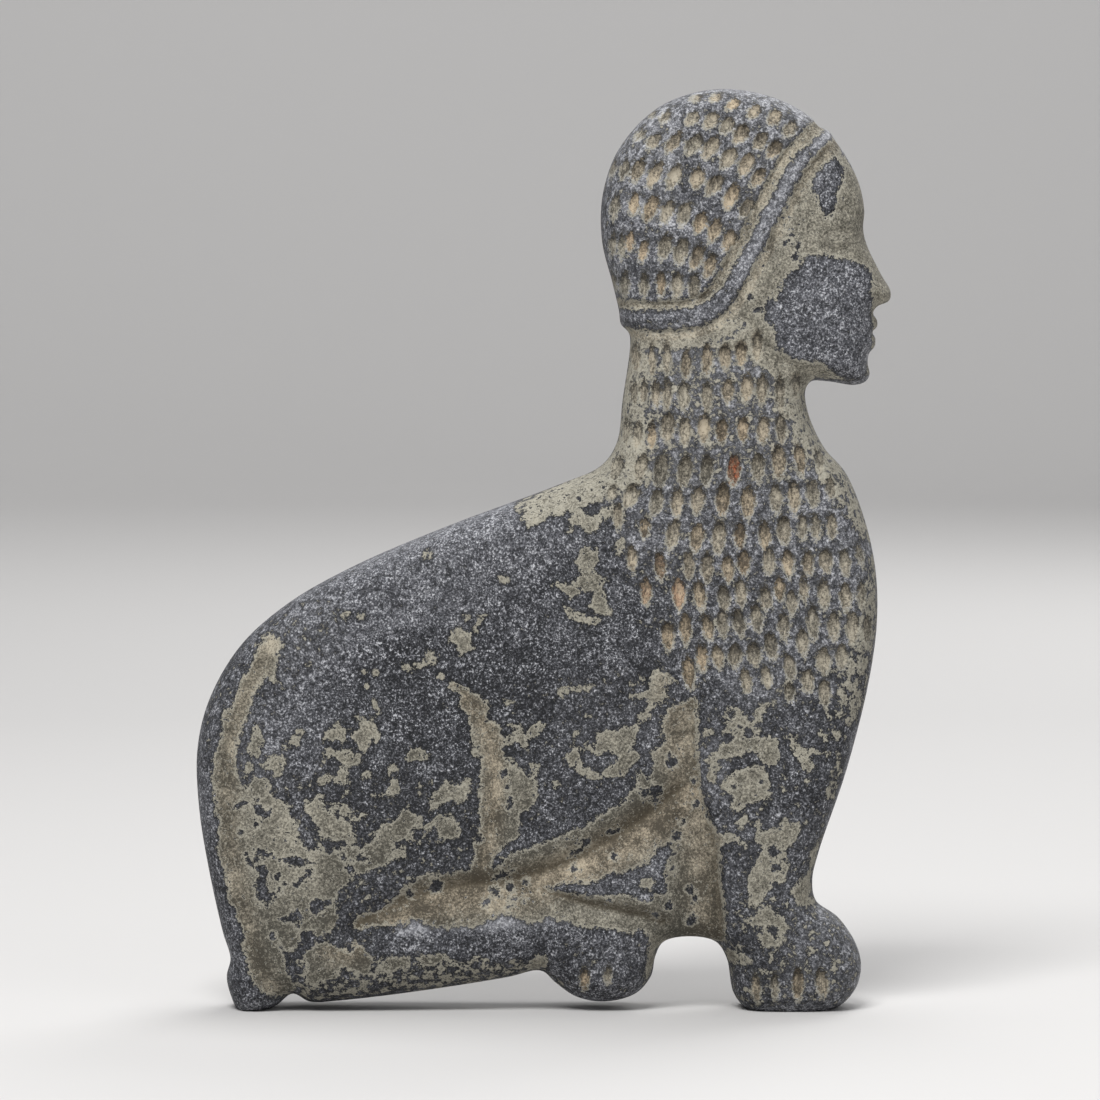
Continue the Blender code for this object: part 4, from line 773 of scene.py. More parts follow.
def soft_distance(points: Points, outline: Points) -> Values:
    """Measures a smooth distance to the outline: exact near an edge, with no crease between edges.

    Args:
        points: The points, (x, z).
        outline: The outline's corners.

    Returns:
        The distances, in millimetres.
    """
    along = np.roll(outline, -1, axis=0) - outline
    lengths = np.linalg.norm(along, axis=1)
    along = along / lengths[:, None]
    least = 1e-3

    def work(some: Points) -> Values:
        """Sums the pull of every edge on each of some points."""
        rel_x = some[:, 0:1] - outline[None, :, 0]
        rel_z = some[:, 1:2] - outline[None, :, 1]
        start = -(rel_x * along[:, 0] + rel_z * along[:, 1])
        off = np.maximum(np.abs(rel_x * along[:, 1] - rel_z * along[:, 0]), least)
        end = start + lengths
        square = off * off
        turn = (np.arctan(end / off) - np.arctan(start / off)) / off
        total = (end / (square + end * end) - start / (square + start * start) + turn) / (2.0 * square)
        return (2.0 / math.pi * total.sum(axis=1)) ** (-1.0 / 3.0)

    return in_chunks(work, points)


def inward(points: Points, outline: Points, target: float, steps: int = 7) -> Points:
    """Moves points up the soft distance's slope until each is target away from the outline.

    Args:
        points: The points to move.
        outline: The outline's corners.
        target: The distance to reach, in millimetres.
        steps: How many times they step.

    Returns:
        The moved points.
    """
    nudge, flattest, longest = 0.02, 0.2, 0.6
    for _ in range(steps):
        here = soft_distance(points, outline)
        ahead = [soft_distance(points + move, outline) for move in ((nudge, 0.0), (0.0, nudge))]
        slope = np.stack([(there - here) / nudge for there in ahead], axis=1)
        steep = np.maximum((slope**2).sum(axis=1), flattest)
        step = np.clip(target - here, -longest, longest)
        points = points + slope * (step / steep)[:, None]
    return points


@dataclass
class Relief:
    """The plaque's height above its mid-plane, front and back. Every size is in millimetres.

    Fields:
        cap_groove, neck_groove: Brink, bottom and foot, left of the band's middle.
        band_share_over_neck: How much of the band's length, from the nape, has the neck below it.
        gouge_depth: A share of a gouge's width. A gouge_bluntness of 2 is an ellipse.
        gouge_taper, gouge_dip: How much wider and deeper a gouge's head is.
        waves: The lengths of the worn surface's waves, which are undulation and ripple high.
    """

    thickness: float = 32.0
    edge_rounding: float = 6.6
    swell_height: float = 1.4
    cap_groove: Place = (5.3, 4.7, 1.0)
    neck_groove: Place = (-1.9, -2.9, -8.0)
    groove_depth: float = 1.2
    band_share_over_neck: float = 0.6
    neck_drop: float = 0.9
    neck_fade: float = 21.0
    gouge_depth: float = 0.34
    gouge_bluntness: float = 1.9
    gouge_taper: float = 0.14
    gouge_dip: float = 0.45
    gouge_walls: float = 0.7
    gouge_margin: float = 2.0
    line_depth: float = 0.6
    line_width: float = 1.1
    line_margin: float = 4.0
    back_share: float = 0.6
    waves: Pair = (34.0, 5.2)
    short_waves: int = 40
    wave_seeds: tuple[int, int] = (21, 31)
    undulation: float = 0.26
    ripple: float = 0.07
    highest: float = 15.96

    def __post_init__(self) -> None:
        """Draws the outline and every line once."""
        face = face_points(FACE_PROFILE)
        above = np.array(TAIL_AND_RUMP + BACK_AND_NAPE + CAP, dtype=float)
        below = np.array(THROAT + CHEST_AND_FORELEG + FRONT_PAW + ARCH + HIND_PAW + BELLY, dtype=float)
        samples = spline(np.vstack([above, face, below]), 0.25, closed=True)
        self.shift = -0.5 * (samples[:, 0].min() + samples[:, 0].max())
        samples = samples + (self.shift, 0.0)
        self.rim = evenly(samples, 0.8)
        self.outline = samples[self.bends(samples, 0.02, 5.0)]
        self.band = self.placed(spline(at(BAND), 1.0, closed=False))
        cuts = (TAIL, HAUNCH, THIGH, SHIN, FORELEG, BELLY_HOLLOW, JAW)
        self.cuts = [
            (cut, self.placed(spline(np.array(cut.line) * NEAR_SCALE + NEAR_LIFT, 1.2, closed=False)))
            for cut in cuts
        ]
        self.lines = [self.placed(spline(face_points(shares), 0.8, closed=False)) for shares in FACE_LINES]
        table = np.array(CAP_GOUGES + NECK_GOUGES + TOE_GOUGES, dtype=float)
        self.gouges = self.placed(at(table[:, :2]))
        self.leans = np.radians(table[:, 2])
        self.gouge_sizes = table[:, 3:5] * NEAR_SQUARE[0]
        self.warmths = table[:, 5]

    def placed(self, points: Points) -> Points:
        """Moves points of the drawing to where the centred plaque has them."""
        return points + (self.shift, 0.0)

    def line_of(self, cut: Cut) -> Points:
        """The samples of one stroke's line."""
        return next(line for other, line in self.cuts if other is cut)

    def bends(self, samples: Points, error: float, longest: float) -> list[int]:
        """Picks the samples that a closed curve needs: close where it bends, apart where it is straight.

        Args:
            samples: The curve's samples.
            error: How far a sample that is left out may lie from the new edge.
            longest: The longest new edge.

        Returns:
            The numbers of the samples to keep.
        """
        kept = [0]
        for index in range(2, len(samples)):
            start = samples[kept[-1]]
            chord = samples[index] - start
            length = float(np.linalg.norm(chord))
            between = samples[kept[-1] + 1:index] - start
            away = np.abs(between[:, 0] * chord[1] - between[:, 1] * chord[0]) / max(length, 1e-9)
            if away.max() > error or length > longest:
                kept.append(index - 1)
        return kept

    def gouge_field(self, points: Points) -> tuple[Values, Values, Values, Values]:
        """Measures how far inside a gouge each point is.

        Args:
            points: The points, (x, z).

        Returns:
            The cut's depth in millimetres; how far inside the nearest rim, in millimetres, negative outside;
            how high in the gouge, from -1 at its foot to 1 at its head; and the nearest gouge's number.
        """
        depth = np.zeros(len(points))
        within = np.full(len(points), -self.gouge_margin)
        rise = np.zeros(len(points))
        nearest = np.zeros(len(points), dtype=int)
        blunt = self.gouge_bluntness
        gouges = zip(self.gouges, self.leans, self.gouge_sizes)
        for number, ((x, z), lean, (length, width)) in enumerate(gouges):
            reach = 0.5 * length + self.gouge_margin
            close = np.flatnonzero((np.abs(points[:, 0] - x) < reach) & (np.abs(points[:, 1] - z) < reach))
            gap = points[close] - (x, z)
            up = (math.sin(lean), math.cos(lean))
            v = (gap[:, 0] * up[0] + gap[:, 1] * up[1]) / (0.5 * length)
            u = (gap[:, 0] * up[1] - gap[:, 1] * up[0]) / (0.5 * width * (1.0 + self.gouge_taper * v))
            share = (np.abs(u) ** blunt + np.abs(v) ** blunt) ** (1.0 / blunt)
            bowl = np.clip(1.0 - share**2, 0.0, 1.0) ** self.gouge_walls * (1.0 + self.gouge_dip * v)
            depth[close] = np.maximum(depth[close], self.gouge_depth * width * bowl)
            inner = np.clip((1.0 - share) * 0.5 * width, -self.gouge_margin, None)
            nearer = inner > within[close]
            within[close] = np.where(nearer, inner, within[close])
            rise[close] = np.where(nearer, v, rise[close])
            nearest[close] = np.where(nearer, number, nearest[close])
        return depth, within, rise, nearest

    def band_cut(self, points: Points) -> Values:
        """Cuts the two grooves beside the band's roll, and drops the neck behind them.

        Each groove falls steeply on its upper side and runs out slowly on its lower one.

        Args:
            points: The points, (x, z).

        Returns:
            The cut's depths, in millimetres.
        """
        away, travelled = near_line(points, self.band)
        total = np.zeros(len(points))
        for brink, bottom, foot in (self.cap_groove, self.neck_groove):
            wall = eased(-away, -brink, -bottom)
            ramp = valley_fall((bottom - away) / (bottom - foot))
            total = np.maximum(total, self.groove_depth * wall * np.where(away > bottom, 1.0, ramp))
        below = np.where(away < self.neck_groove[1], self.neck_groove[1] - away, 0.0)
        neck = smooth_fall(below / self.neck_fade) * (below > 0)
        neck = neck * smooth_fall(travelled / self.band_share_over_neck)
        return np.maximum(total, self.neck_drop * neck)

    def strokes(self, points: Points, side: Side) -> Values:
        """Cuts the broad strokes. Those that cross blend, and don't add up.

        Args:
            points: The points, (x, z).
            side: The face that is carved.

        Returns:
            The strokes' depths, in millimetres.
        """
        total = self.band_cut(points) ** 3
        for cut, line in self.cuts:
            if side is Side.BACK and not cut.on_back:
                continue
            close = close_to(points, line, max(cut.left + cut.right))
            away, travelled = near_line(points[close], line)
            width = np.where(away > 0, mixed(cut.left, travelled), mixed(cut.right, travelled))
            total[close] += (mixed(cut.depth, travelled) * valley_fall(np.abs(away) / width)) ** 3
        return total ** (1.0 / 3.0)

    def carving(self, points: Points, side: Side) -> Values:
        """How much is carved off at each point.

        Args:
            points: The points, (x, z).
            side: The face that is carved.

        Returns:
            Depths in millimetres, negative where a form of the face stands proud.
        """
        total = self.strokes(points, side)
        if side is Side.BACK:
            return total * self.back_share
        close = close_to(points, np.vstack(self.lines), self.line_margin)
        for line in self.lines:
            away, _ = near_line(points[close], line)
            cut = self.line_depth * smooth_fall(np.abs(away) / self.line_width)
            total[close] = np.maximum(total[close], cut)
        for form in FACE_FORMS:
            total -= form.height * form.share(points, self.shift)
        return total + self.gouge_field(points)[0]

    def swell(self, points: Points) -> Values:
        """Finds the share of the body's broad swells.

        Args:
            points: The points, (x, z).

        Returns:
            Shares from 0 to 1.
        """
        flat = np.ones(len(points))
        for x, z, reach in SWELLS:
            gap = np.linalg.norm(points - (x + self.shift, z), axis=1) / reach
            flat = flat * (1.0 - np.exp(-gap**2))
        return 1.0 - flat

    def heights(self, points: Points, side: Side) -> Values:
        """Finds the height above the mid-plane at points inside the outline.

        Args:
            points: The points, (x, z).
            side: The face.

        Returns:
            Heights in millimetres.
        """
        distance = soft_distance(points, self.outline)
        rise = np.sqrt(1.0 - np.exp(-2.0 * distance / self.edge_rounding))
        full = 0.5 * self.thickness - self.swell_height * (1.0 - self.swell(points))
        seed = self.wave_seeds[0 if side is Side.FRONT else 1]
        broad = Waves(self.waves[0], seed).values(points)
        short = Waves(self.waves[1], seed + 1, self.short_waves).values(points)
        worn = self.undulation * 0.5 * (1.0 + broad) + self.ripple * 0.5 * (1.0 + short)
        height = full * rise - self.carving(points, side) * rise**2 - np.maximum(worn, 0.0) * rise**2
        return np.minimum(height, self.highest)


@dataclass
class Weathering:
    """Where the crust, soil, pits, wear and painted light and shade lie on the stone. Lengths are in
    millimetres.

    Fields:
        reach: How far from a patch its field is still measured.
        groove_reach: How far from the middle of the band's roll the crust in its grooves goes.
        overlap: How far past the middle of the edge each face's weathering runs out.
        edge_wear_and_highlight: Its depth; its share of wear everywhere, and of painted highlight on what
            looks up and ahead.
        rim_highlight: The depth and strength of a painted highlight on the thin edge that looks ahead.
        gouge_lip: How far outside a gouge its own soil, and the painted shade at its head, go.
        back_patches: Each wave's strength, length and seed. back_bareness is taken off.
        back_strokes: How much the crust follows the strokes, and from where.
        back_mottling: Its middle, and its waves' strength, length and seed.
    """

    relief: Relief
    reach: float = 4.0
    groove_reach: float = 5.2
    overlap: float = 4.0
    edge_wear_and_highlight: tuple[float, float, float, float] = (2.6, 0.3, 0.4, 0.3)
    rim_highlight: Pair = (0.7, 0.5)
    most_wear_and_highlight: float = 1.35
    roll_wear: float = 0.35
    groove_warmth: float = 0.13
    stone_warmth: float = 0.02
    mottling: float = 0.05
    gouge_lip: Pair = (0.15, 0.3)
    pit_edge: float = 0.4
    gouge_painted_shade: float = 0.45
    band_painted_shade: float = 0.6
    back_patches: tuple[tuple[float, float, int], ...] = ((2.4, 30.0, 51), (1.3, 9.0, 52))
    back_bareness: float = 2.0
    back_strokes: Pair = (1.6, -1.4)
    back_mottling: tuple[float, float, float, int] = (0.26, 0.14, 22.0, 53)
    back_warmth: float = 0.15

    def paint(self, mesh: bpy.types.Mesh) -> None:
        """Stores the fields on the mesh's corners.

        Args:
            mesh: The plaque's mesh, in metres.
        """
        count = len(mesh.vertices)
        corners, normals = np.empty(count * 3), np.empty(count * 3)
        mesh.vertices.foreach_get("co", corners)
        mesh.vertices.foreach_get("normal", normals)
        corners = corners.reshape(-1, 3) / MM
        forward, upward = normals.reshape(-1, 3)[:, (0, 2)].T
        places = corners[:, (0, 2)]
        names = ("crust", "mottle", "gouge", "rise", "painted_shade", "warm", "wear_and_highlight", "painted_pit_shade", "tone")
        fields = {name: np.zeros(count) for name in names}
        distances = ("crust", "gouge")
        for name in distances:
            fields[name] -= self.reach
        for side in Side:
            within = corners[:, 1] * side.value + self.overlap
            rows = within > 0.0
            share = np.clip(0.5 * within[rows] / self.overlap, 0.0, 1.0)
            for name, values in self.fields(places[rows], side).items():
                if name in distances:
                    faded = values - self.reach * (1.0 - share)
                    fields[name][rows] = np.maximum(fields[name][rows], faded)
                else:
                    fields[name][rows] += share * values
        depth = soft_distance(places, self.relief.outline)
        # Paler edges: wear all round, with a painted highlight on edges that look up and ahead, strongest on
        # the thin edge ahead.
        run, every, up, ahead = self.edge_wear_and_highlight
        fields["wear_and_highlight"] += np.exp(-depth / run) * np.clip(every + up * upward + ahead * forward, 0.0, 1.0)
        fields["wear_and_highlight"] += self.rim_highlight[1] * np.exp(-depth / self.rim_highlight[0]) * np.clip(forward, 0.0, 1.0)
        fields["wear_and_highlight"] = np.minimum(fields["wear_and_highlight"], self.most_wear_and_highlight)
        for name, values in fields.items():
            layer = mesh.attributes.new(name, "FLOAT", "POINT")
            layer.data.foreach_set("value", values.astype(np.float32))

    def fields(self, points: Points, side: Side) -> dict[str, Values]:
        """Finds every field but the edge's wear and painted highlight on one face.

        Args:
            points: The points, (x, z).
            side: The face.

        Returns:
            The fields by name.
        """
        away, travelled = near_line(points, self.relief.band)
        roll = mixed(ROLL_HALF_WIDTHS, travelled)
        groove = np.minimum(np.abs(away) - roll, self.groove_reach - np.abs(away))
        bare_roll = np.abs(away) < roll
        if side is Side.BACK:
            return self.back_fields(points, groove, bare_roll)
        _, gouge, rise, nearest = self.relief.gouge_field(points)
        crust = np.maximum(self.traced(points), groove)
        crust = np.where(bare_roll, np.abs(away) - roll, crust)
        pits = self.pits(points)
        warm = np.maximum(self.recess_warmth(points), self.groove_warmth * (groove > 0.0))
        warm = np.where(gouge > -self.gouge_lip[0], self.relief.warmths[nearest], warm)
        return {
            "crust": np.minimum(crust, -pits), "mottle": self.shares(points, MOTTLED, self.mottling),
            "gouge": gouge, "rise": rise, "painted_shade": self.painted_shade(points, gouge, rise), "warm": warm,
            "wear_and_highlight": self.shares(points, PALER, 0.0), "tone": self.shares(points, CRUST_TONES, 0.0),
            # Painted shade in the pits through the crust.
            "painted_pit_shade": np.clip(1.0 + pits / self.pit_edge, 0.0, 1.0),
        }

    def back_fields(self, points: Points, groove: Values,
                    bare_roll: Values) -> dict[str, Values]:
        """Finds the back's fields.

        Args:
            points: The points, (x, z).
            groove: How deep each is in a groove of the band, in millimetres.
            bare_roll: Whether each is on the band's roll.

        Returns:
            The fields by name.
        """
        strokes = self.relief.strokes(points, Side.BACK)
        zero = np.zeros(len(points))
        patches = zero
        for strength, length, seed in self.back_patches:
            patches = patches + strength * Waves(length, seed).values(points)
        share, level = self.back_strokes
        crust = np.maximum(np.maximum(patches - self.back_bareness, groove), share * strokes + level)
        middle, swing, length, seed = self.back_mottling
        return {
            "crust": crust, "mottle": middle + swing * Waves(length, seed).values(points),
            "gouge": zero - self.relief.gouge_margin, "rise": zero, "painted_shade": zero,
            "warm": self.back_warmth * strokes, "wear_and_highlight": self.roll_wear * bare_roll, "painted_pit_shade": zero, "tone": zero,
        }

    def place(self, loop: Loop | Points) -> Points:
        """Turns a loop of the drawing into where the centred plaque has it."""
        return self.relief.placed(at(loop))

    def traced(self, points: Points) -> Values:
        """Measures how deep inside the drawn crust each point of the front is.

        Args:
            points: The points, (x, z).

        Returns:
            Millimetres inside, negative outside.
        """
        crust = self.dots(points, CRUST_DOTS)
        loops = (CRUST_ON_TAIL, CRUST_IN_COVE, CRUST_ON_HEAD)
        for loop in loops + CRUST_ON_BODY + CRUST_ON_SHOULDER + CRUST_ON_FORELEG:
            crust = np.maximum(crust, depth_in_loop(points, self.place(loop), self.reach))
        for loop in BARE_PATCHES:
            crust = np.minimum(crust, -depth_in_loop(points, self.place(loop), self.reach))
        return np.maximum(crust, depth_in_loop(points, self.place(CRUST_ISLAND), self.reach))

    def dots(self, points: Points, spots: tuple[Place, ...]) -> Values:
        """Measures how deep inside round spots each point is.

        Args:
            points: The points, (x, z).
            spots: Each spot's x, y and reach, in the drawing's squares.

        Returns:
            Millimetres inside, negative outside.
        """
        inner = np.full(len(points), -self.reach)
        for x, y, reach in spots:
            gap = np.linalg.norm(points - self.place(((x, y),))[0], axis=1)
            inner = np.maximum(inner, reach * MILLIMETRES_A_SQUARE - gap)
        return inner

    def shares(self, points: Points, zones: tuple[Zone, ...], least: float) -> Values:
        """Blends zones that each have a value inside a loop and fade outside it.

        Args:
            points: The points, (x, z).
            zones: Each zone's loop, value and fade in millimetres.
            least: The value away from every zone.

        Returns:
            The zones' values. The strongest wins where they overlap, and those below 0 are taken off.
        """
        most = np.full(len(points), least)
        taken = np.zeros(len(points))
        for loop, value, fade in zones:
            share = value * eased(depth_in_loop(points, self.place(loop), fade), -fade, 0.0)
            most = np.maximum(most, share)
            taken = np.minimum(taken, share)
        return most + taken

    def painted_shade(self, points: Points, gouge: Values, rise: Values) -> Values:
        """Finds how much painted shade darkens the creases, the band's brinks and the gouges' heads.

        Args:
            points: The points, (x, z).
            gouge: How far inside a gouge each is, in millimetres.
            rise: How high in its gouge each is, from -1 to 1.

        Returns:
            Shares from 0 to 1.
        """
        # Painted shade under each gouge's head, on the creases' slopes and at the band's brinks.
        dark = self.gouge_painted_shade * eased(rise, -0.1, 1.0) * (gouge > -self.gouge_lip[1])
        steeper, brink_start, brink_width = 2.5, 0.35, 0.7
        for cut, reach, value in SHADED_CREASES:
            away, _ = near_line(points, self.relief.line_of(cut))
            fall = valley_fall(np.where(away > 0.0, away, -steeper * away) / reach)
            dark = np.maximum(dark, value * fall)
        away, _ = near_line(points, self.relief.band)
        for brink, _, _ in (self.relief.cap_groove, self.relief.neck_groove):
            near = smooth_fall((away - brink + brink_start) / brink_width)
            dark = np.maximum(dark, self.band_painted_shade * near)
        return dark

    def pits(self, points: Points) -> Values:
        """Measures the pits and the streaks that go through the front's crust to the stone.

        Args:
            points: The points, (x, z).

        Returns:
            Millimetres inside a pit, negative outside.
        """
        inner = self.dots(points, DARK_PITS)
        for line, width in DARK_STREAKS:
            away, _ = near_line(points, self.place(line))
            inner = np.maximum(inner, 0.5 * width * MILLIMETRES_A_SQUARE - np.abs(away))
        return inner

    def recess_warmth(self, points: Points) -> Values:
        """Finds how warm the crust is where soil stayed in the cut recesses.

        Args:
            points: The points, (x, z).

        Returns:
            Shares from 0, grey olive, to 1, red.
        """
        warm = np.full(len(points), self.stone_warmth)
        beyond = 3.0
        for cut, offset, value in WARM_RECESSES:
            away, _ = near_line(points, self.relief.line_of(cut))
            reach = max(cut.left + cut.right) + beyond
            warm = np.maximum(warm, value * smooth_fall((away - offset) / reach))
        return warm


@dataclass
class Scatter:
    """Points for the surface: a new one is kept only where it has room."""

    points: Points

    def add(self, candidates: Points, room: float, crowded: bool = True) -> None:
        """Keeps the candidates that are at least room from every point so far.

        Args:
            candidates: The new points.
            room: The least distance, in millimetres.
            crowded: Whether the candidates may also be too close to one another.
        """
        if not len(candidates):
            return
        tree = KDTree(len(self.points))
        for number, (x, z) in enumerate(self.points):
            tree.insert((x, z, 0.0), number)
        tree.balance()
        free = [point for point in candidates if tree.find((point[0], point[1], 0.0))[2] >= room]
        if crowded:
            free = self.thinned(free, room)
        if free:
            self.points = np.vstack([self.points, free])

    def thinned(self, points: list[Points], room: float) -> list[Points]:
        """Drops the points that are too close to one before them.

        Args:
            points: The points.
            room: The least distance, in millimetres.

        Returns:
            The points that stay.
        """
        kept: list[Points] = []
        cells: dict[tuple[int, int], list[Points]] = {}
        for point in points:
            column, row = int(point[0] // room), int(point[1] // room)
            around = [(column + i, row + j) for i in (-1, 0, 1) for j in (-1, 0, 1)]
            near = [other for cell in around for other in cells.get(cell, [])]
            if all(math.dist(point, other) >= room for other in near):
                cells.setdefault((column, row), []).append(point)
                kept.append(point)
        return kept


@dataclass
class StoneSurface:
    """The plaque's mesh: a front and a back that share the outline's corners on the mid-plane.

    Fields:
        ring_depths: How deep each ring of corners lies inside the outline.
        edge, fine, middle, coarse: The spacing along the crust's edges, over fine carving, over the
            rest of the front and over the back.
        gouge_rings, pit_rings: Each ring's share of the reach, and its corners.
        ring_room, carving_room, line_room: The least distance to another corner.
        grid_room: The same, as a share of the grid's spacing.
        crust_reach, gouge_reach, band_reach, line_reach: How far from each the spacing stays fine.
    """

    relief: Relief
    weathering: Weathering
    ring_depths: tuple[float, ...] = (0.08, 0.31, 0.75, 1.35, 2.2)
    ring_room: float = 0.22
    edge: float = 0.52
    fine: float = 0.62
    middle: float = 1.1
    coarse: float = 1.5
    gouge_rings: tuple[tuple[float, int], ...] = ((1.0, 18), (0.8, 14), (0.42, 6))
    pit_rings: tuple[tuple[float, int], ...] = ((0.0, 1), (0.75, 6), (1.4, 8))
    carving_room: float = 0.27
    line_room: float = 0.4
    grid_room: float = 0.6
    crust_reach: float = 0.55
    gouge_reach: float = 0.9
    band_reach: float = 6.0
    line_reach: float = 3.0
    vertices: list[Place] = field(default_factory=list)
    faces: list[list[int]] = field(default_factory=list)

    def build(self) -> bpy.types.Mesh:
        """Makes the mesh.

        Returns:
            The mesh, in millimetres.
        """
        rings = self.rings()
        self.vertices.extend((x, 0.0, z) for x, z in self.relief.rim)
        for side in Side:
            outer = list(range(len(self.relief.rim)))
            for ring, numbers in rings:
                first = len(self.vertices)
                inner = [first + number for number in numbers]
                self.grow(ring, side)
                self.join(outer, inner, side)
                outer = inner
            self.fill(rings[-1][0], len(self.vertices) - len(rings[-1][0]), side)
        mesh = bpy.data.meshes.new("sphinx_plaque_stone")
        mesh.from_pydata(self.vertices, [], self.faces)
        mesh.validate()
        return mesh

    def rings(self) -> list[tuple[Points, list[int]]]:
        """Finds the rings inside the outline.

        Returns:
            Each ring's corners, and for each corner of the outline the number of its corner on the ring.
        """
        rim = self.relief.rim
        along = np.roll(rim, -1, axis=0) - np.roll(rim, 1, axis=0)
        along = along / np.linalg.norm(along, axis=1)[:, None]
        ring = rim + np.stack([along[:, 1], -along[:, 0]], axis=1) * self.ring_depths[0]
        found = []
        for depth in self.ring_depths:
            ring = inward(ring, self.relief.outline, depth)
            found.append(self.gathered(ring))
        return found

    def gathered(self, ring: Points) -> tuple[Points, list[int]]:
        """Drops the ring's corners that are too close to the one before.

        Args:
            ring: All the ring's corners.

        Returns:
            The corners that stay, and each old corner's new number.
        """
        kept = [0]
        numbers = []
        for index, point in enumerate(ring):
            if index and math.dist(point, ring[kept[-1]]) >= self.ring_room:
                kept.append(index)
            numbers.append(len(kept) - 1)
        if len(kept) > 1 and math.dist(ring[kept[-1]], ring[0]) < self.ring_room:
            last = len(kept) - 1
            kept.pop()
            numbers = [0 if number == last else number for number in numbers]
        return ring[kept], numbers

    def grow(self, points: Points, side: Side) -> None:
        """Adds corners at the relief's height, on one side."""
        heights = self.relief.heights(points, side)
        self.vertices.extend((x, side.value * h, z) for (x, z), h in zip(points, heights))

    def join(self, outer: list[int], inner: list[int], side: Side) -> None:
        """Adds the strip of faces between two rings.

        Args:
            outer: The outer ring's corner numbers.
            inner: The inner ring's, one for each of the outer's.
            side: The face they are on.
        """
        count = len(outer)
        for i in range(count):
            j = (i + 1) % count
            corners = list(dict.fromkeys((outer[i], outer[j], inner[j], inner[i])))
            if len(corners) > 2:
                self.faces.append(corners if side is Side.BACK else corners[::-1])

    def fill(self, ring: Points, first: int, side: Side) -> None:
        """Fills the innermost ring with triangles.

        Args:
            ring: The ring's corners.
            first: The number of its first corner.
            side: The face that is filled.
        """
        scatter = Scatter(ring)
        if side is Side.FRONT:
            self.add_carving(scatter)
            self.add_grid(scatter, self.edge, self.bordering)
            self.add_grid(scatter, self.fine, self.detailed)
            self.add_grid(scatter, self.middle)
        else:
            self.add_grid(scatter, self.coarse)
        count = len(ring)
        loop = [(i, (i + 1) % count) for i in range(count)]
        flat = [Vector(point) for point in scatter.points]
        # The 1 keeps what lies inside the loop, and corners closer than the last number are merged.
        met, _, triangles, origins, _, _ = delaunay_2d_cdt(flat, loop, [], 1, 1e-5)
        places = np.array([tuple(point) for point in met])
        heights = self.relief.heights(places, side)
        numbers = []
        for (x, z), height, origin in zip(places, heights, origins):
            ringed = [index for index in origin if index < count]
            if ringed:
                numbers.append(first + ringed[0])
            else:
                numbers.append(len(self.vertices))
                self.vertices.append((x, side.value * height, z))
        # The triangles turn left in (x, z), which faces -Y.
        order = 1 if side is Side.FRONT else -1
        self.faces.extend([numbers[i] for i in corners][::order] for corners in triangles)

    def add_carving(self, scatter: Scatter) -> None:
        """Adds corners on the rims and bottoms of the gouges and along the face's lines.

        Args:
            scatter: The corners so far.
        """
        relief = self.relief
        groups = []
        power = 2.0 / relief.gouge_bluntness
        for place, lean, (length, width) in zip(relief.gouges, relief.leans, relief.gouge_sizes):
            up = np.array((math.sin(lean), math.cos(lean)))
            across = np.array((up[1], -up[0]))
            for reach, count in self.gouge_rings:
                turn = turned(count)
                v = np.sign(np.sin(turn)) * np.abs(np.sin(turn)) ** power * reach
                taper = 1.0 + relief.gouge_taper * v
                u = np.sign(np.cos(turn)) * np.abs(np.cos(turn)) ** power * reach * taper
                groups.append(
                    place + across * (0.5 * width * u)[:, None] + up * (0.5 * length * v)[:, None]
                )
        for x, y, reach in DARK_PITS:
            for share, count in self.pit_rings:
                turn = turned(count)
                ring = np.stack([np.cos(turn), np.sin(turn)], axis=1) * share * reach * NEAR_SQUARE[0]
                groups.append(relief.placed(at(((x, y),))) + ring)
        for away in relief.cap_groove[:2] + relief.neck_groove[:2]:
            groups.append(self.beside(relief.band, away))
        corners = np.vstack(groups)
        scatter.add(corners[self.clear(corners)], self.carving_room)
        for line in relief.lines + [line for _, line in relief.cuts]:
            scatter.add(line[self.clear(line)], self.line_room)

    def beside(self, line: Points, away: float) -> Points:
        """Samples a line that runs beside another.

        Args:
            line: The other line's samples.
            away: How far to its left, in millimetres.

        Returns:
            The samples, half a millimetre apart.
        """
        close = evenly(line, 0.5, closed=False)
        ahead = np.gradient(close, axis=0)
        ahead = ahead / np.linalg.norm(ahead, axis=1)[:, None]
        return close + np.stack([-ahead[:, 1], ahead[:, 0]], axis=1) * away

    def clear(self, points: Points) -> Values:
        """Tests whether each point is inside the innermost ring, with a little room.

        Args:
            points: The points, (x, z).

        Returns:
            True for each point inside.
        """
        room = 0.25
        well = inside(points, self.relief.outline)
        well[well] = soft_distance(points[well], self.relief.outline) > self.ring_depths[-1] + room
        return well

    def add_grid(self, scatter: Scatter, spacing: float,
                 wanted: Callable[[Points], Values] | None = None) -> None:
        """Adds a grid of corners, every other row shifted by half a step.

        Args:
            scatter: The corners so far.
            spacing: The grid's step, in millimetres.
            wanted: A test of which points the grid is for, or None for all of them.
        """
        low, high = self.relief.outline.min(axis=0), self.relief.outline.max(axis=0)
        rows = []
        for row, z in enumerate(np.arange(low[1], high[1], spacing * math.sqrt(0.75))):
            start = low[0] + (0.5 * spacing if row % 2 else 0.0)
            xs = np.arange(start, high[0], spacing)
            rows.append(np.stack([xs, np.full(len(xs), z)], axis=1))
        grid = np.vstack(rows)
        grid = grid[inside(grid, self.relief.outline)]
        if wanted is not None:
            grid = grid[wanted(grid)]
        grid = grid[self.clear(grid)]
        scatter.add(grid, self.grid_room * spacing, crowded=False)

    def bordering(self, points: Points) -> Values:
        """Whether each point is near the edge of the drawn crust."""
        return np.abs(self.weathering.traced(points)) < self.crust_reach

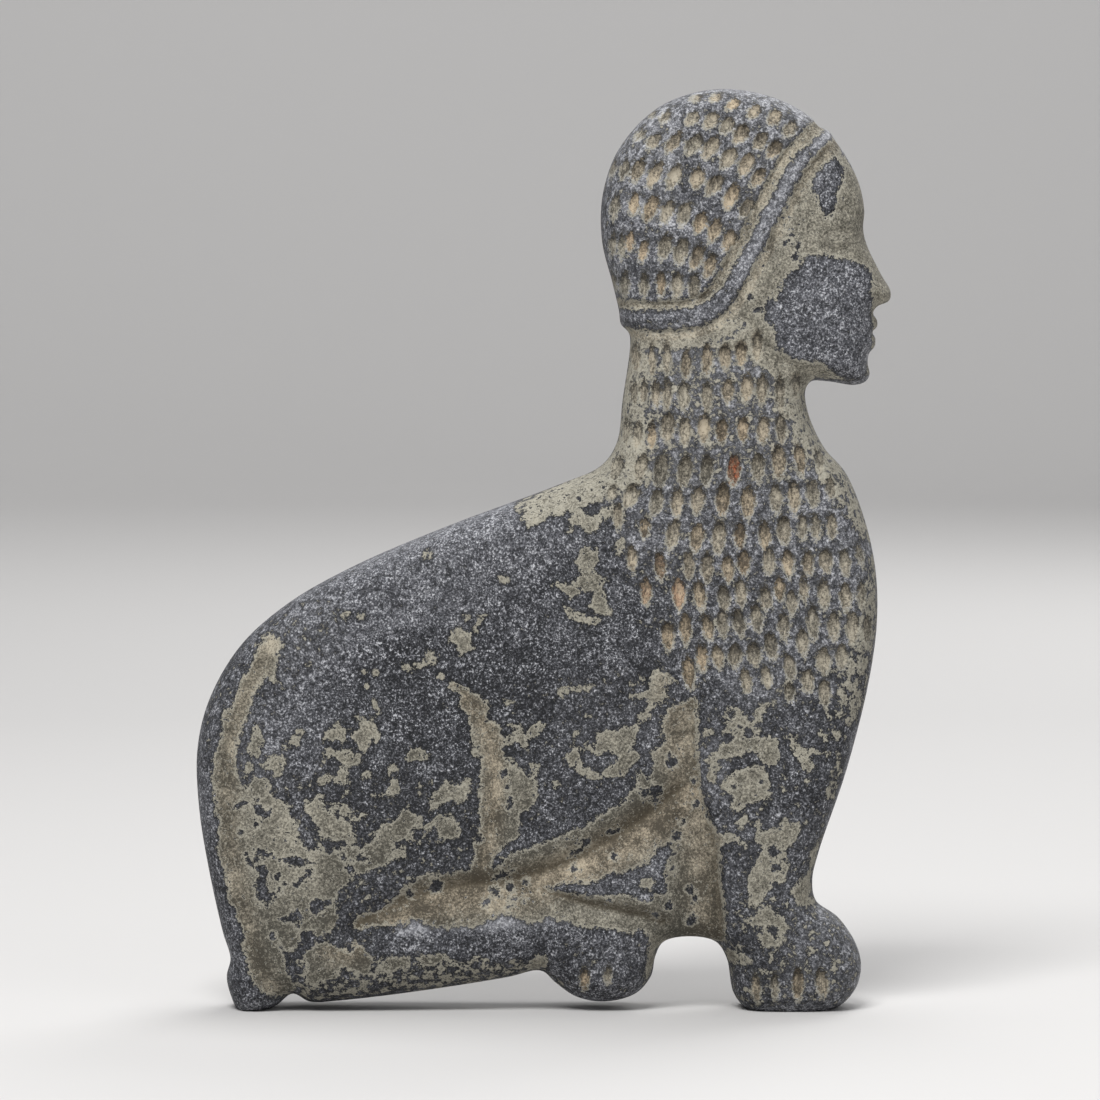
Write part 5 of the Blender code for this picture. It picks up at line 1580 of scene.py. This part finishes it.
    def detailed(self, points: Points) -> Values:
        """Tests whether each point is near fine carving: a gouge, the band, the face or a stroke's valley.

        Args:
            points: The points, (x, z).

        Returns:
            True for each point near.
        """
        relief = self.relief
        near = relief.gouge_field(points)[1] > -self.gouge_reach
        lines = [(relief.band, self.band_reach)]
        lines += [(line, self.line_reach) for line in relief.lines + [line for _, line in relief.cuts]]
        for line, reach in lines:
            close = close_to(points, line, reach)
            close = close[~near[close]]
            if len(close):
                near[close] = np.abs(near_line(points[close], line)[0]) < reach
        return near


def paint_from(red: int, green: int, blue: int) -> Colour:
    """Turns screen shades from 0 to 255 into a linear colour.

    Args:
        red: The red shade.
        green: The green shade.
        blue: The blue shade.

    Returns:
        The linear colour, with an alpha of 1.
    """
    shades = []
    for shade in (red, green, blue):
        part = shade / 255.0
        shades.append(part / 12.92 if part <= 0.04045 else ((part + 0.055) / 1.055) ** 2.4)
    return (shades[0], shades[1], shades[2], 1.0)


class Lumps(Enum):
    """The finish's noises: how many millimetres a lump is across, about, its detail and its roughness."""

    FINE_GRAIN = (0.56, 2.0, 0.85)
    COARSE_GRAIN = (1.5, 3.0, 0.7)
    GRAIN_CLUMPS = (7.5, 3.0, 0.6)
    CRUST_PINHOLES = (1.15, 2.0, 0.7)
    PINHOLE_PATCHES = (6.0, 2.0, 0.6)
    THIN_CRUST = (2.1, 4.0, 0.75)
    WIDE_BITES = (2.4, 2.0, 0.6)
    TIGHT_BITES = (0.95, 3.0, 0.8)
    CRUST_LUMPS = (0.8, 3.0, 0.7)
    GOUGE_BITES = (1.1, 3.0, 0.8)
    RUST_PATCHES = (1.7, 2.0, 0.6)
    FINE_SOIL = (0.60, 2.0, 0.85)
    BROAD_SOIL = (3.6, 5.0, 0.7)
    SOIL_BLOTCHES = (8.0, 3.0, 0.6)
    GOUGE_STREAKS = (0.7, 2.0, 0.7)


@dataclass
class NodeBench:
    """Lays shader nodes in a tree and links them. A feed is a value or another node's socket."""

    tree: NodeTree

    def node(self, kind: str, inputs: dict[str | int, Feed] | None = None, **settings: object) -> Node:
        """Adds a node.

        Args:
            kind: The node's type.
            inputs: The feeds of its inputs, by name or number.
            settings: Values for its properties.

        Returns:
            The node.
        """
        made = self.tree.nodes.new(kind)
        for name, value in settings.items():
            setattr(made, name, value)
        for name, feed in (inputs or {}).items():
            self.give(feed, made.inputs[name])
        return made

    def give(self, feed: Feed, target: Socket) -> None:
        """Gives an input its feed.

        Args:
            feed: A socket, which is linked, or a value, which is set.
            target: The input.
        """
        if isinstance(feed, Socket):
            self.tree.links.new(feed, target)
        else:
            target.default_value = feed

    def sum(self, operation: str, first: Feed, second: Feed = 0.0, third: Feed = 0.0) -> Socket:
        """Works out one sum, such as ADD or MULTIPLY."""
        return self.node("ShaderNodeMath", {0: first, 1: second, 2: third}, operation=operation).outputs[0]

    def step(self, value: Feed, span: Pair, ends: Pair = (0.0, 1.0)) -> Socket:
        """Eases from the first end to the second as a value goes over a span."""
        inputs = {"Value": value, 1: span[0], 2: span[1], 3: ends[0], 4: ends[1]}
        return self.node("ShaderNodeMapRange", inputs, interpolation_type="SMOOTHSTEP").outputs["Result"]

    def band(self, value: Feed, rise: Pair, fall: Pair) -> Socket:
        """Rises from 0 to 1 as a value goes over one span, and falls back to 0 over another."""
        return self.sum("MULTIPLY", self.step(value, rise), self.step(value, fall, (1.0, 0.0)))

    def blend(self, share: Feed, first: Feed, second: Feed, mode: str = "MIX") -> Socket:
        """Mixes two colours by a share."""
        inputs = {0: share, 6: first, 7: second}
        return self.node("ShaderNodeMix", inputs, data_type="RGBA", blend_type=mode).outputs[2]

    def ramp(self, value: Feed, stops: Stops) -> Socket:
        """Turns a value into a colour.

        Args:
            value: The value.
            stops: A place and a colour each.

        Returns:
            The colour.
        """
        made = self.node("ShaderNodeValToRGB", {0: value})
        points = made.color_ramp.elements
        while len(points) < len(stops):
            points.new(1.0)
        for point, (place, colour) in zip(points, stops):
            point.position = place
            point.color = colour
        return made.outputs["Color"]

    def noise(self, vector: Socket, lumps: Lumps) -> Socket:
        """Adds a noise, mostly between 0 and 1."""
        size, detail, roughness = lumps.value
        inputs = {"Vector": vector, "Scale": 1.0 / size, "Detail": detail, "Roughness": roughness}
        return self.node("ShaderNodeTexNoise", inputs).outputs["Fac"]

    def centred(self, noise: Socket) -> Socket:
        """Shifts a noise so that its middle is 0."""
        return self.sum("SUBTRACT", noise, 0.5)

    def stretched(self, vector: Socket, scale: Place) -> Socket:
        """Scales a place along each axis."""
        return self.node("ShaderNodeMapping", {"Vector": vector, "Scale": scale}).outputs["Vector"]

    def stored(self, name: str) -> Socket:
        """Reads a field that is stored on the mesh."""
        return self.node("ShaderNodeAttribute", attribute_name=name).outputs["Fac"]

    def place(self, group: NodeTree, inputs: dict[str | int, Feed]) -> Node:
        """Places a node group with its own feeds."""
        return self.node("ShaderNodeGroup", inputs, node_tree=group)


FLOAT = "NodeSocketFloat"
VECTOR = "NodeSocketVector"


def new_group(name: str, inputs: dict[str, tuple[str, float | None]],
              outputs: tuple[str, ...]) -> tuple[NodeBench, Node, Node]:
    """Starts a shader node group.

    Args:
        name: The group's name.
        inputs: The kind and default of each input socket, by name.
        outputs: The name of each output socket. They are all values.

    Returns:
        A bench on the group, its input node and its output node.
    """
    group = bpy.data.node_groups.new(name, "ShaderNodeTree")
    for label, (kind, start) in inputs.items():
        socket = group.interface.new_socket(label, in_out="INPUT", socket_type=kind)
        if start is not None:
            socket.default_value = start
    for label in outputs:
        group.interface.new_socket(label, in_out="OUTPUT", socket_type=FLOAT)
    bench = NodeBench(group)
    return bench, bench.node("NodeGroupInput"), bench.node("NodeGroupOutput")


@dataclass(frozen=True)
class StoneGrain:
    """The stone's salt-and-pepper grain.

    Fields:
        fine, coarse, clumps: How strong each size of lump is.
        paling, calming: How much paler and calmer worn stone, and stone under a painted highlight, is.
    """

    fine: float = 1.34
    coarse: float = 0.56
    clumps: float = 0.26
    middle: float = 0.474
    paling: float = 0.12
    calming: float = 0.46
    fine_height: float = 0.6

    def group(self) -> NodeTree:
        """Builds the grain.

        Returns:
            A group from a place in millimetres and a wear and highlight to a tone, dark to light, and a
            height.
        """
        sockets = {"Place": (VECTOR, None), "Wear and highlight": (FLOAT, 0.0)}
        bench, start, end = new_group("stone grain", sockets, ("Tone", "Height"))
        place, wear_and_highlight = start.outputs["Place"], start.outputs["Wear and highlight"]
        fine = bench.noise(place, Lumps.FINE_GRAIN)
        coarse = bench.noise(place, Lumps.COARSE_GRAIN)
        clump = bench.noise(place, Lumps.GRAIN_CLUMPS)
        speckle = bench.sum("MULTIPLY", bench.centred(fine), self.fine)
        speckle = bench.sum("MULTIPLY_ADD", bench.centred(coarse), self.coarse, speckle)
        speckle = bench.sum("MULTIPLY_ADD", bench.centred(clump), self.clumps, speckle)
        # Worn stone, and stone with a painted highlight, is calmer and paler.
        calm = bench.sum("MULTIPLY_ADD", wear_and_highlight, -self.calming, 1.0)
        tone = bench.sum("MULTIPLY_ADD", speckle, calm, self.middle)
        bench.give(bench.sum("MULTIPLY_ADD", wear_and_highlight, self.paling, tone), end.inputs["Tone"])
        bench.give(bench.sum("MULTIPLY_ADD", fine, self.fine_height, coarse), end.inputs["Height"])
        return bench.tree


@dataclass(frozen=True)
class RaggedCrust:
    """The crust's ragged edge, thin rim, pinholes, mottling and painted shadow. Spans are in millimetres.

    Fields:
        holes: How much of the pinholes' noise is covered at the crust's edge, and hole_depth inside.
        thin: How much thin crust the mottling lays, and how much is held back.
        bites: How far the wide and the tight bites go into the crust's edge.
        solid, raised: The spans over which the crust becomes solid, and rises.
        rim, shade: Where the thin rim, partly a painted highlight, and the painted shadow outside, start and
            end.
        height: How much of the height is lumpy, and how much is even.
    """

    hole_depth: float = 2.6
    holes: Pair = (0.53, 0.60)
    hole_patches: float = 0.20
    hole_edge: float = 9.0
    thin: Pair = (0.42, -0.73)
    thin_edge: float = 5.0
    bites: Pair = (2.4, 3.4)
    blend: float = 0.12
    solid: Pair = (-0.05, 0.07)
    rim: tuple[Pair, Pair] = ((0.0, 0.08), (0.32, 0.82))
    shade: tuple[Pair, Pair] = ((-1.1, -0.25), (-0.05, 0.08))
    raised: Pair = (-0.16, 0.26)
    height: Pair = (0.7, 0.65)

    def group(self) -> NodeTree:
        """Builds the crust.

        Returns:
            A group from a place in millimetres and the stored fields to masks and a height.
        """
        bench, start, end = new_group(
            "ragged crust",
            {"Place": (VECTOR, None), "Depth": (FLOAT, 0.0), "Mottle": (FLOAT, 0.0), "Ragged": (FLOAT, 1.0)},
            ("Mask", "Rim", "Shade", "Height"),
        )
        place, depth = start.outputs["Place"], start.outputs["Depth"]
        speck = bench.noise(place, Lumps.CRUST_PINHOLES)
        patch = bench.noise(place, Lumps.PINHOLE_PATCHES)
        limit = bench.step(depth, (0.0, self.hole_depth), self.holes)
        limit = bench.sum("MULTIPLY_ADD", patch, self.hole_patches, limit)
        hole = bench.sum("MULTIPLY", bench.sum("SUBTRACT", limit, speck), self.hole_edge)
        level = bench.sum("MULTIPLY_ADD", start.outputs["Mottle"], *self.thin)
        thin = bench.sum("ADD", bench.noise(place, Lumps.THIN_CRUST), level)
        wide = bench.centred(bench.noise(place, Lumps.WIDE_BITES))
        tight = bench.centred(bench.noise(place, Lumps.TIGHT_BITES))
        bite = bench.sum("MULTIPLY_ADD", wide, self.bites[0], bench.sum("MULTIPLY", tight, self.bites[1]))
        bitten = bench.sum("MULTIPLY_ADD", bite, start.outputs["Ragged"], depth)
        edge = bench.sum("SMOOTH_MIN", bitten, hole, self.blend)
        edge = bench.sum("MAXIMUM", edge, bench.sum("MULTIPLY", thin, self.thin_edge))
        lump = bench.sum("MULTIPLY_ADD", bench.noise(place, Lumps.CRUST_LUMPS), *self.height)
        bench.give(bench.step(edge, self.solid), end.inputs["Mask"])
        # Rim: a thin pale rim, partly the crust's pale edge and partly a painted highlight on its raised
        # edge.
        bench.give(bench.band(edge, *self.rim), end.inputs["Rim"])
        # Shade: a painted shadow on the stone just outside the crust's edge.
        bench.give(bench.band(edge, *self.shade), end.inputs["Shade"])
        bench.give(bench.sum("MULTIPLY", bench.step(edge, self.raised), lump), end.inputs["Height"])
        return bench.tree


@dataclass(frozen=True)
class WeatheredChlorite:
    """Dark chlorite, a pale ragged crust, soil in its cuts, worn edges, painted light and shade. Colours are
    linear.

    Fields:
        grains: The stone's shades, each from its tone on.
        shades: Those that the crust's colour is multiplied by.
        under: How dark the painted shadow beside the crust and the painted shade in the pits make the stone.
        gouge_bites: How far a gouge's soil bites over its rim, in millimetres.
        upper: Where a gouge's upper part begins, from -1 at its foot to 1 at its head.
        lip, brink: Where the pale lip round a gouge and the painted shadow on the brink of its head start and
            end.
        lip_highlight_shares: How much less lip the head has, and how much the foot has, as a painted
            highlight.
        soil_warmth, rust_warmth: The spans over which the crust turns warm, and red.
        rust_span, rust_shares: The red patches' edge, and how red it is outside and inside.
        soil_tones: The strength of the fine lumps, the broad lumps and the painted tones.
        roughness: How it follows the stone's tone, and from where.
        grain_bump, crust_bump: Their strength, and their height in millimetres.
    """

    grain: StoneGrain = StoneGrain()
    patches: RaggedCrust = RaggedCrust()
    grains: Stops = (
        (0.27, paint_from(26, 27, 30)), (0.41, paint_from(55, 56, 60)), (0.51, paint_from(82, 83, 88)),
        (0.60, paint_from(117, 118, 123)), (0.74, paint_from(200, 201, 205)),
    )
    shades: Stops = (
        (0.30, paint_from(112, 112, 112)), (0.43, paint_from(156, 156, 156)),
        (0.52, paint_from(184, 184, 184)), (0.60, paint_from(208, 208, 208)),
        (0.74, paint_from(255, 255, 255)),
    )
    crust: Colour = paint_from(172, 167, 152)
    # The thin rim's colour, at the crust's edge and round the gouges: partly their pale edge, partly a
    # painted highlight.
    rim: Colour = paint_from(176, 172, 158)
    soil: Colour = paint_from(188, 171, 145)
    # The colour of the painted shade in the creases, at the band's brinks and under the gouges' heads.
    painted_shade_colour: Colour = paint_from(88, 80, 66)
    rust: Colour = paint_from(174, 99, 66)
    ragged: float = 1.0
    under: float = 0.75
    rim_share: float = 0.68
    gouge_bites: float = 2.9
    gouge_edge: Pair = (0.0, 0.10)
    gouge_share: float = 0.94
    upper: Pair = (-0.25, 0.45)
    lip: tuple[Pair, Pair] = ((-0.42, -0.26), (-0.02, 0.08))
    lip_highlight_shares: Pair = (-0.6, 0.66)
    brink: tuple[Pair, Pair] = ((-0.12, 0.0), (0.22, 0.50))
    head_shadow_share: float = 0.7
    soil_warmth: Pair = (0.02, 0.36)
    rust_warmth: Pair = (0.30, 1.0)
    rust_span: Pair = (0.36, 0.60)
    rust_shares: Pair = (0.35, 1.0)
    soil_tones: tuple[float, float, float] = (1.22, 0.62, 0.12)
    blotches: float = 6.4
    most_blotched: float = 0.2
    streaks: float = 0.7
    streak_stretch: float = 0.22
    roughness: Pair = (-0.2, 0.82)
    crust_roughness: float = 0.93
    specular: float = 0.32
    grain_bump: Pair = (0.8, 0.16)
    crust_bump: Pair = (0.9, 0.34)

    def material(self) -> bpy.types.Material:
        """Builds the material.

        Returns:
            The material.
        """
        made = bpy.data.materials.new("weathered chlorite")
        made.use_nodes = True
        bench = NodeBench(made.node_tree)
        shader = made.node_tree.nodes["Principled BSDF"]
        metres = bench.node("ShaderNodeTexCoord").outputs["Object"]
        place = bench.stretched(metres, (1.0 / MM, 1.0 / MM, 1.0 / MM))
        grain = bench.place(self.grain.group(), {"Place": place, "Wear and highlight": bench.stored("wear_and_highlight")})
        depth, mottle = bench.stored("crust"), bench.stored("mottle")
        sockets = {"Place": place, "Depth": depth, "Mottle": mottle, "Ragged": self.ragged}
        crust = bench.place(self.patches.group(), sockets)
        bites = bench.noise(place, Lumps.GOUGE_BITES)
        bites = bench.sum("MULTIPLY_ADD", bites, self.gouge_bites, -0.5 * self.gouge_bites)
        within = bench.sum("ADD", bench.stored("gouge"), bites)
        gouge = bench.step(within, self.gouge_edge)
        soiled = self.soiled(bench, place, gouge)
        colour = self.crusted(bench, grain, crust, soiled)
        upper = bench.step(bench.stored("rise"), self.upper)
        # The pale lip round each gouge: partly pale crust, and a painted highlight that is strongest at its
        # foot.
        lip = bench.sum("MULTIPLY_ADD", upper, *self.lip_highlight_shares)
        colour = bench.blend(bench.sum("MULTIPLY", bench.band(within, *self.lip), lip), colour, self.rim)
        colour = bench.blend(bench.sum("MULTIPLY", gouge, self.gouge_share), colour, soiled)
        # Painted shadow: a dark line along the brink at each gouge's head.
        brink = bench.sum("MULTIPLY", bench.band(within, *self.brink), upper)
        colour = bench.blend(bench.sum("MULTIPLY", brink, self.head_shadow_share), colour, self.darkest)
        bench.give(colour, shader.inputs["Base Color"])
        cover = bench.sum("MAXIMUM", crust.outputs["Mask"], gouge)
        rough = bench.sum("MULTIPLY_ADD", grain.outputs["Tone"], *self.roughness)
        rougher = bench.sum("SUBTRACT", self.crust_roughness, rough)
        bench.give(bench.sum("MULTIPLY_ADD", rougher, cover, rough), shader.inputs["Roughness"])
        shader.inputs["Specular IOR Level"].default_value = self.specular
        bench.give(self.bumps(bench, grain, crust), shader.inputs["Normal"])
        return made

    @property
    def darkest(self) -> Colour:
        """The stone's darkest shade."""
        return self.grains[0][1]

    def crusted(self, bench: NodeBench, grain: Node, crust: Node, soiled: Socket) -> Socket:
        """Lays the crust on the stone, with a painted shadow beside it and painted shade in the pits.

        Args:
            bench: The material's bench.
            grain: The grain group's node.
            crust: The crust group's node.
            soiled: The crust's colour.

        Returns:
            The colour.
        """
        stone = bench.ramp(grain.outputs["Tone"], self.grains)
        # Painted shadow beside the crust's edge, and painted shade in its pits.
        under = bench.sum("MAXIMUM", crust.outputs["Shade"], bench.stored("painted_pit_shade"))
        stone = bench.blend(bench.sum("MULTIPLY", under, self.under), stone, self.darkest)
        # The rim: partly the crust's pale edge, partly a painted highlight on its raised edge.
        rim = bench.sum("MULTIPLY", crust.outputs["Rim"], self.rim_share)
        return bench.blend(crust.outputs["Mask"], stone, bench.blend(rim, soiled, self.rim))

    def soiled(self, bench: NodeBench, place: Socket, gouge: Socket) -> Socket:
        """Mixes the crust's colour: olive, in paler and darker patches, warm where soil stayed, and painted
        shade.

        Args:
            bench: The material's bench.
            place: The place in millimetres.
            gouge: Where the gouges are, whose soil lies in upright streaks.

        Returns:
            The colour.
        """
        warm = bench.stored("warm")
        colour = bench.blend(bench.step(warm, self.soil_warmth), self.crust, self.soil)
        patch = bench.step(bench.noise(place, Lumps.RUST_PATCHES), self.rust_span, self.rust_shares)
        red = bench.sum("MULTIPLY", bench.step(warm, self.rust_warmth), patch)
        colour = bench.blend(red, colour, self.rust)
        fine_tone, broad_tone, painted_tone = self.soil_tones
        middle = 0.5
        broad = bench.centred(bench.noise(place, Lumps.BROAD_SOIL))
        tone = bench.sum("MULTIPLY_ADD", broad, broad_tone, middle)
        fine = bench.centred(bench.noise(place, Lumps.FINE_SOIL))
        tone = bench.sum("MULTIPLY_ADD", fine, fine_tone, tone)
        tone = bench.sum("MULTIPLY_ADD", bench.stored("tone"), painted_tone, tone)
        blotch = bench.centred(bench.noise(place, Lumps.SOIL_BLOTCHES))
        blotch = bench.sum("MULTIPLY", blotch, bench.sum("MINIMUM", warm, self.most_blotched))
        tone = bench.sum("MULTIPLY_ADD", blotch, self.blotches, tone)
        upright = bench.stretched(place, (1.0, 1.0, self.streak_stretch))
        streaks = bench.centred(bench.noise(upright, Lumps.GOUGE_STREAKS))
        tone = bench.sum("MULTIPLY_ADD", bench.sum("MULTIPLY", streaks, gouge), self.streaks, tone)
        colour = bench.blend(1.0, colour, bench.ramp(tone, self.shades), "MULTIPLY")
        # Darkens the crust with painted shade in the creases, at the band's brinks and under the gouges'
        # heads.
        return bench.blend(bench.stored("painted_shade"), colour, self.painted_shade_colour)

    def bumps(self, bench: NodeBench, grain: Node, crust: Node) -> Socket:
        """Raises the grain and the crust a little.

        Args:
            bench: The material's bench.
            grain: The grain group's node.
            crust: The crust group's node.

        Returns:
            The normal.
        """
        strength, height = self.grain_bump
        raised = {"Strength": strength, "Distance": height * MM, "Height": grain.outputs["Height"]}
        normal = bench.node("ShaderNodeBump", raised).outputs["Normal"]
        strength, height = self.crust_bump
        raised = {"Strength": strength, "Distance": height * MM, "Height": crust.outputs["Height"]}
        return bench.node("ShaderNodeBump", {**raised, "Normal": normal}).outputs["Normal"]


@dataclass
class Plaque:
    """The one piece of carved stone."""

    relief: Relief
    finish: WeatheredChlorite
    node: str = "sphinx_plaque"

    def build(self) -> bpy.types.Object:
        """Makes the stone, dresses it and sets it in the CAD node's place.

        Returns:
            The piece.
        """
        weathering = Weathering(self.relief)
        mesh = StoneSurface(self.relief, weathering).build()
        self.trim(mesh)
        mesh.shade_smooth()
        weathering.paint(mesh)
        piece = bpy.data.objects.new("sphinx_plaque_stone", mesh)
        bpy.context.scene.collection.objects.link(piece)
        mesh.materials.append(self.finish.material())
        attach(piece, "root")
        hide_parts(self.node)
        LOG.info("%s: %d corners, %d faces", piece.name, len(mesh.vertices), len(mesh.polygons))
        return piece

    def trim(self, mesh: bpy.types.Mesh) -> None:
        """Turns the mesh into metres, cuts it flat at the floor and keeps it in the CAD node's box.

        Args:
            mesh: The mesh, in millimetres.
        """
        low, high = (np.array(corner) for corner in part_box(self.node))
        places = np.empty(len(mesh.vertices) * 3)
        mesh.vertices.foreach_get("co", places)
        places = np.clip(places.reshape(-1, 3) * MM, low, high)
        mesh.vertices.foreach_set("co", places.ravel())
        mesh.update()


@dataclass(frozen=True)
class Lamp:
    """A soft square light. Lengths are in metres.

    Fields:
        aim: The place that it points at, or None for the plaque.
    """

    name: str
    place: Place
    size: float
    power: float
    aim: Place | None = None


@dataclass
class Studio:
    """A plain pale floor that sweeps up behind, soft lights, and the camera at the drawing's view.

    Lengths are in metres.

    Fields:
        elevation: How far the camera looks down, in degrees.
        frame_width: How much its picture shows across at the target.
        floor_front, sweep_start: Where the floor and its sweep begin in y.
    """

    elevation: float = 3.5
    distance: float = 2.0
    target: Place = (0.0018, 0.0, 0.1199)
    sensor: float = 36.0
    frame_width: float = DRAWING_WIDTH * MILLIMETRES_A_SQUARE * MM
    far: float = 20.0
    lamps: tuple[Lamp, ...] = (
        Lamp("key light", (-0.35, -1.2, 1.7), 0.8, 38.0),
        Lamp("fill light", (1.1, -1.3, 0.8), 1.1, 4.0),
        Lamp("top light", (0.1, 0.35, 1.5), 0.8, 10.0),
        Lamp("back light", (0.7, 1.5, 1.1), 0.9, 11.0),
        Lamp("backdrop light", (0.0, 1.6, 2.2), 2.0, 26.0, (0.0, 3.2, 1.7)),
    )
    sky: Colour = (0.92, 0.94, 1.0, 1.0)
    sky_strength: float = 0.16
    floor_colour: Colour = (0.62, 0.61, 0.60, 1.0)
    floor_roughness: float = 0.9
    floor_front: float = -3.5
    floor_side: float = 4.0
    sweep_start: float = 2.4
    sweep_radius: float = 0.8
    sweep_steps: int = 12
    wall_top: float = 4.0

    def build(self) -> None:
        """Sets up the floor, the lights, the world and the camera."""
        self.floor()
        for lamp in self.lamps:
            self.hang(lamp)
        world = bpy.data.worlds.new("studio")
        world.use_nodes = True
        background = world.node_tree.nodes["Background"]
        background.inputs["Color"].default_value = self.sky
        background.inputs["Strength"].default_value = self.sky_strength
        bpy.context.scene.world = world
        bpy.context.scene.view_settings.view_transform = "Standard"
        self.camera()

    def floor(self) -> None:
        """Builds the floor and its sweep as one curved sheet."""
        profile = [(self.floor_front, 0.0), (self.sweep_start, 0.0)]
        for step in range(1, self.sweep_steps + 1):
            turn = step / self.sweep_steps * math.pi / 2.0
            away = self.sweep_start + self.sweep_radius * math.sin(turn)
            profile.append((away, self.sweep_radius * (1.0 - math.cos(turn))))
        profile.append((self.sweep_start + self.sweep_radius, self.wall_top))
        vertices = [(x, y, z) for y, z in profile for x in (-self.floor_side, self.floor_side)]
        faces = [(2 * i, 2 * i + 1, 2 * i + 3, 2 * i + 2) for i in range(len(profile) - 1)]
        mesh = bpy.data.meshes.new("studio_floor")
        mesh.from_pydata(vertices, [], faces)
        mesh.shade_smooth()
        floor = bpy.data.objects.new("studio_floor", mesh)
        bpy.context.scene.collection.objects.link(floor)
        material = bpy.data.materials.new("studio paper")
        material.use_nodes = True
        shader = material.node_tree.nodes["Principled BSDF"]
        shader.inputs["Base Color"].default_value = self.floor_colour
        shader.inputs["Roughness"].default_value = self.floor_roughness
        mesh.materials.append(material)

    def hang(self, lamp: Lamp) -> None:
        """Hangs a lamp."""
        data = bpy.data.lights.new(lamp.name, "AREA")
        data.size = lamp.size
        data.energy = lamp.power
        light = bpy.data.objects.new(lamp.name, data)
        light.location = lamp.place
        gap = Vector(lamp.aim or self.target) - Vector(lamp.place)
        light.rotation_euler = gap.to_track_quat("-Z", "Y").to_euler()
        bpy.context.scene.collection.objects.link(light)

    def camera(self) -> None:
        """Sets the camera."""
        data = bpy.data.cameras.new("camera")
        data.sensor_width = self.sensor
        data.lens = self.sensor * self.distance / self.frame_width
        data.clip_end = self.far
        camera = bpy.data.objects.new("camera", data)
        lift = math.radians(self.elevation)
        back = Vector((0.0, -math.cos(lift), math.sin(lift))) * self.distance
        camera.location = Vector(self.target) + back
        camera.rotation_euler = (-back).to_track_quat("-Z", "Y").to_euler()
        bpy.context.scene.collection.objects.link(camera)
        bpy.context.scene.camera = camera


def main() -> None:
    logging.basicConfig(level=logging.INFO, format="%(name)s: %(message)s")
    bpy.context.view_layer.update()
    Studio().build()
    LOG.info("studio: floor, lights and camera")
    Plaque(Relief(), WeatheredChlorite()).build()


if __name__ == "__main__":
    main()
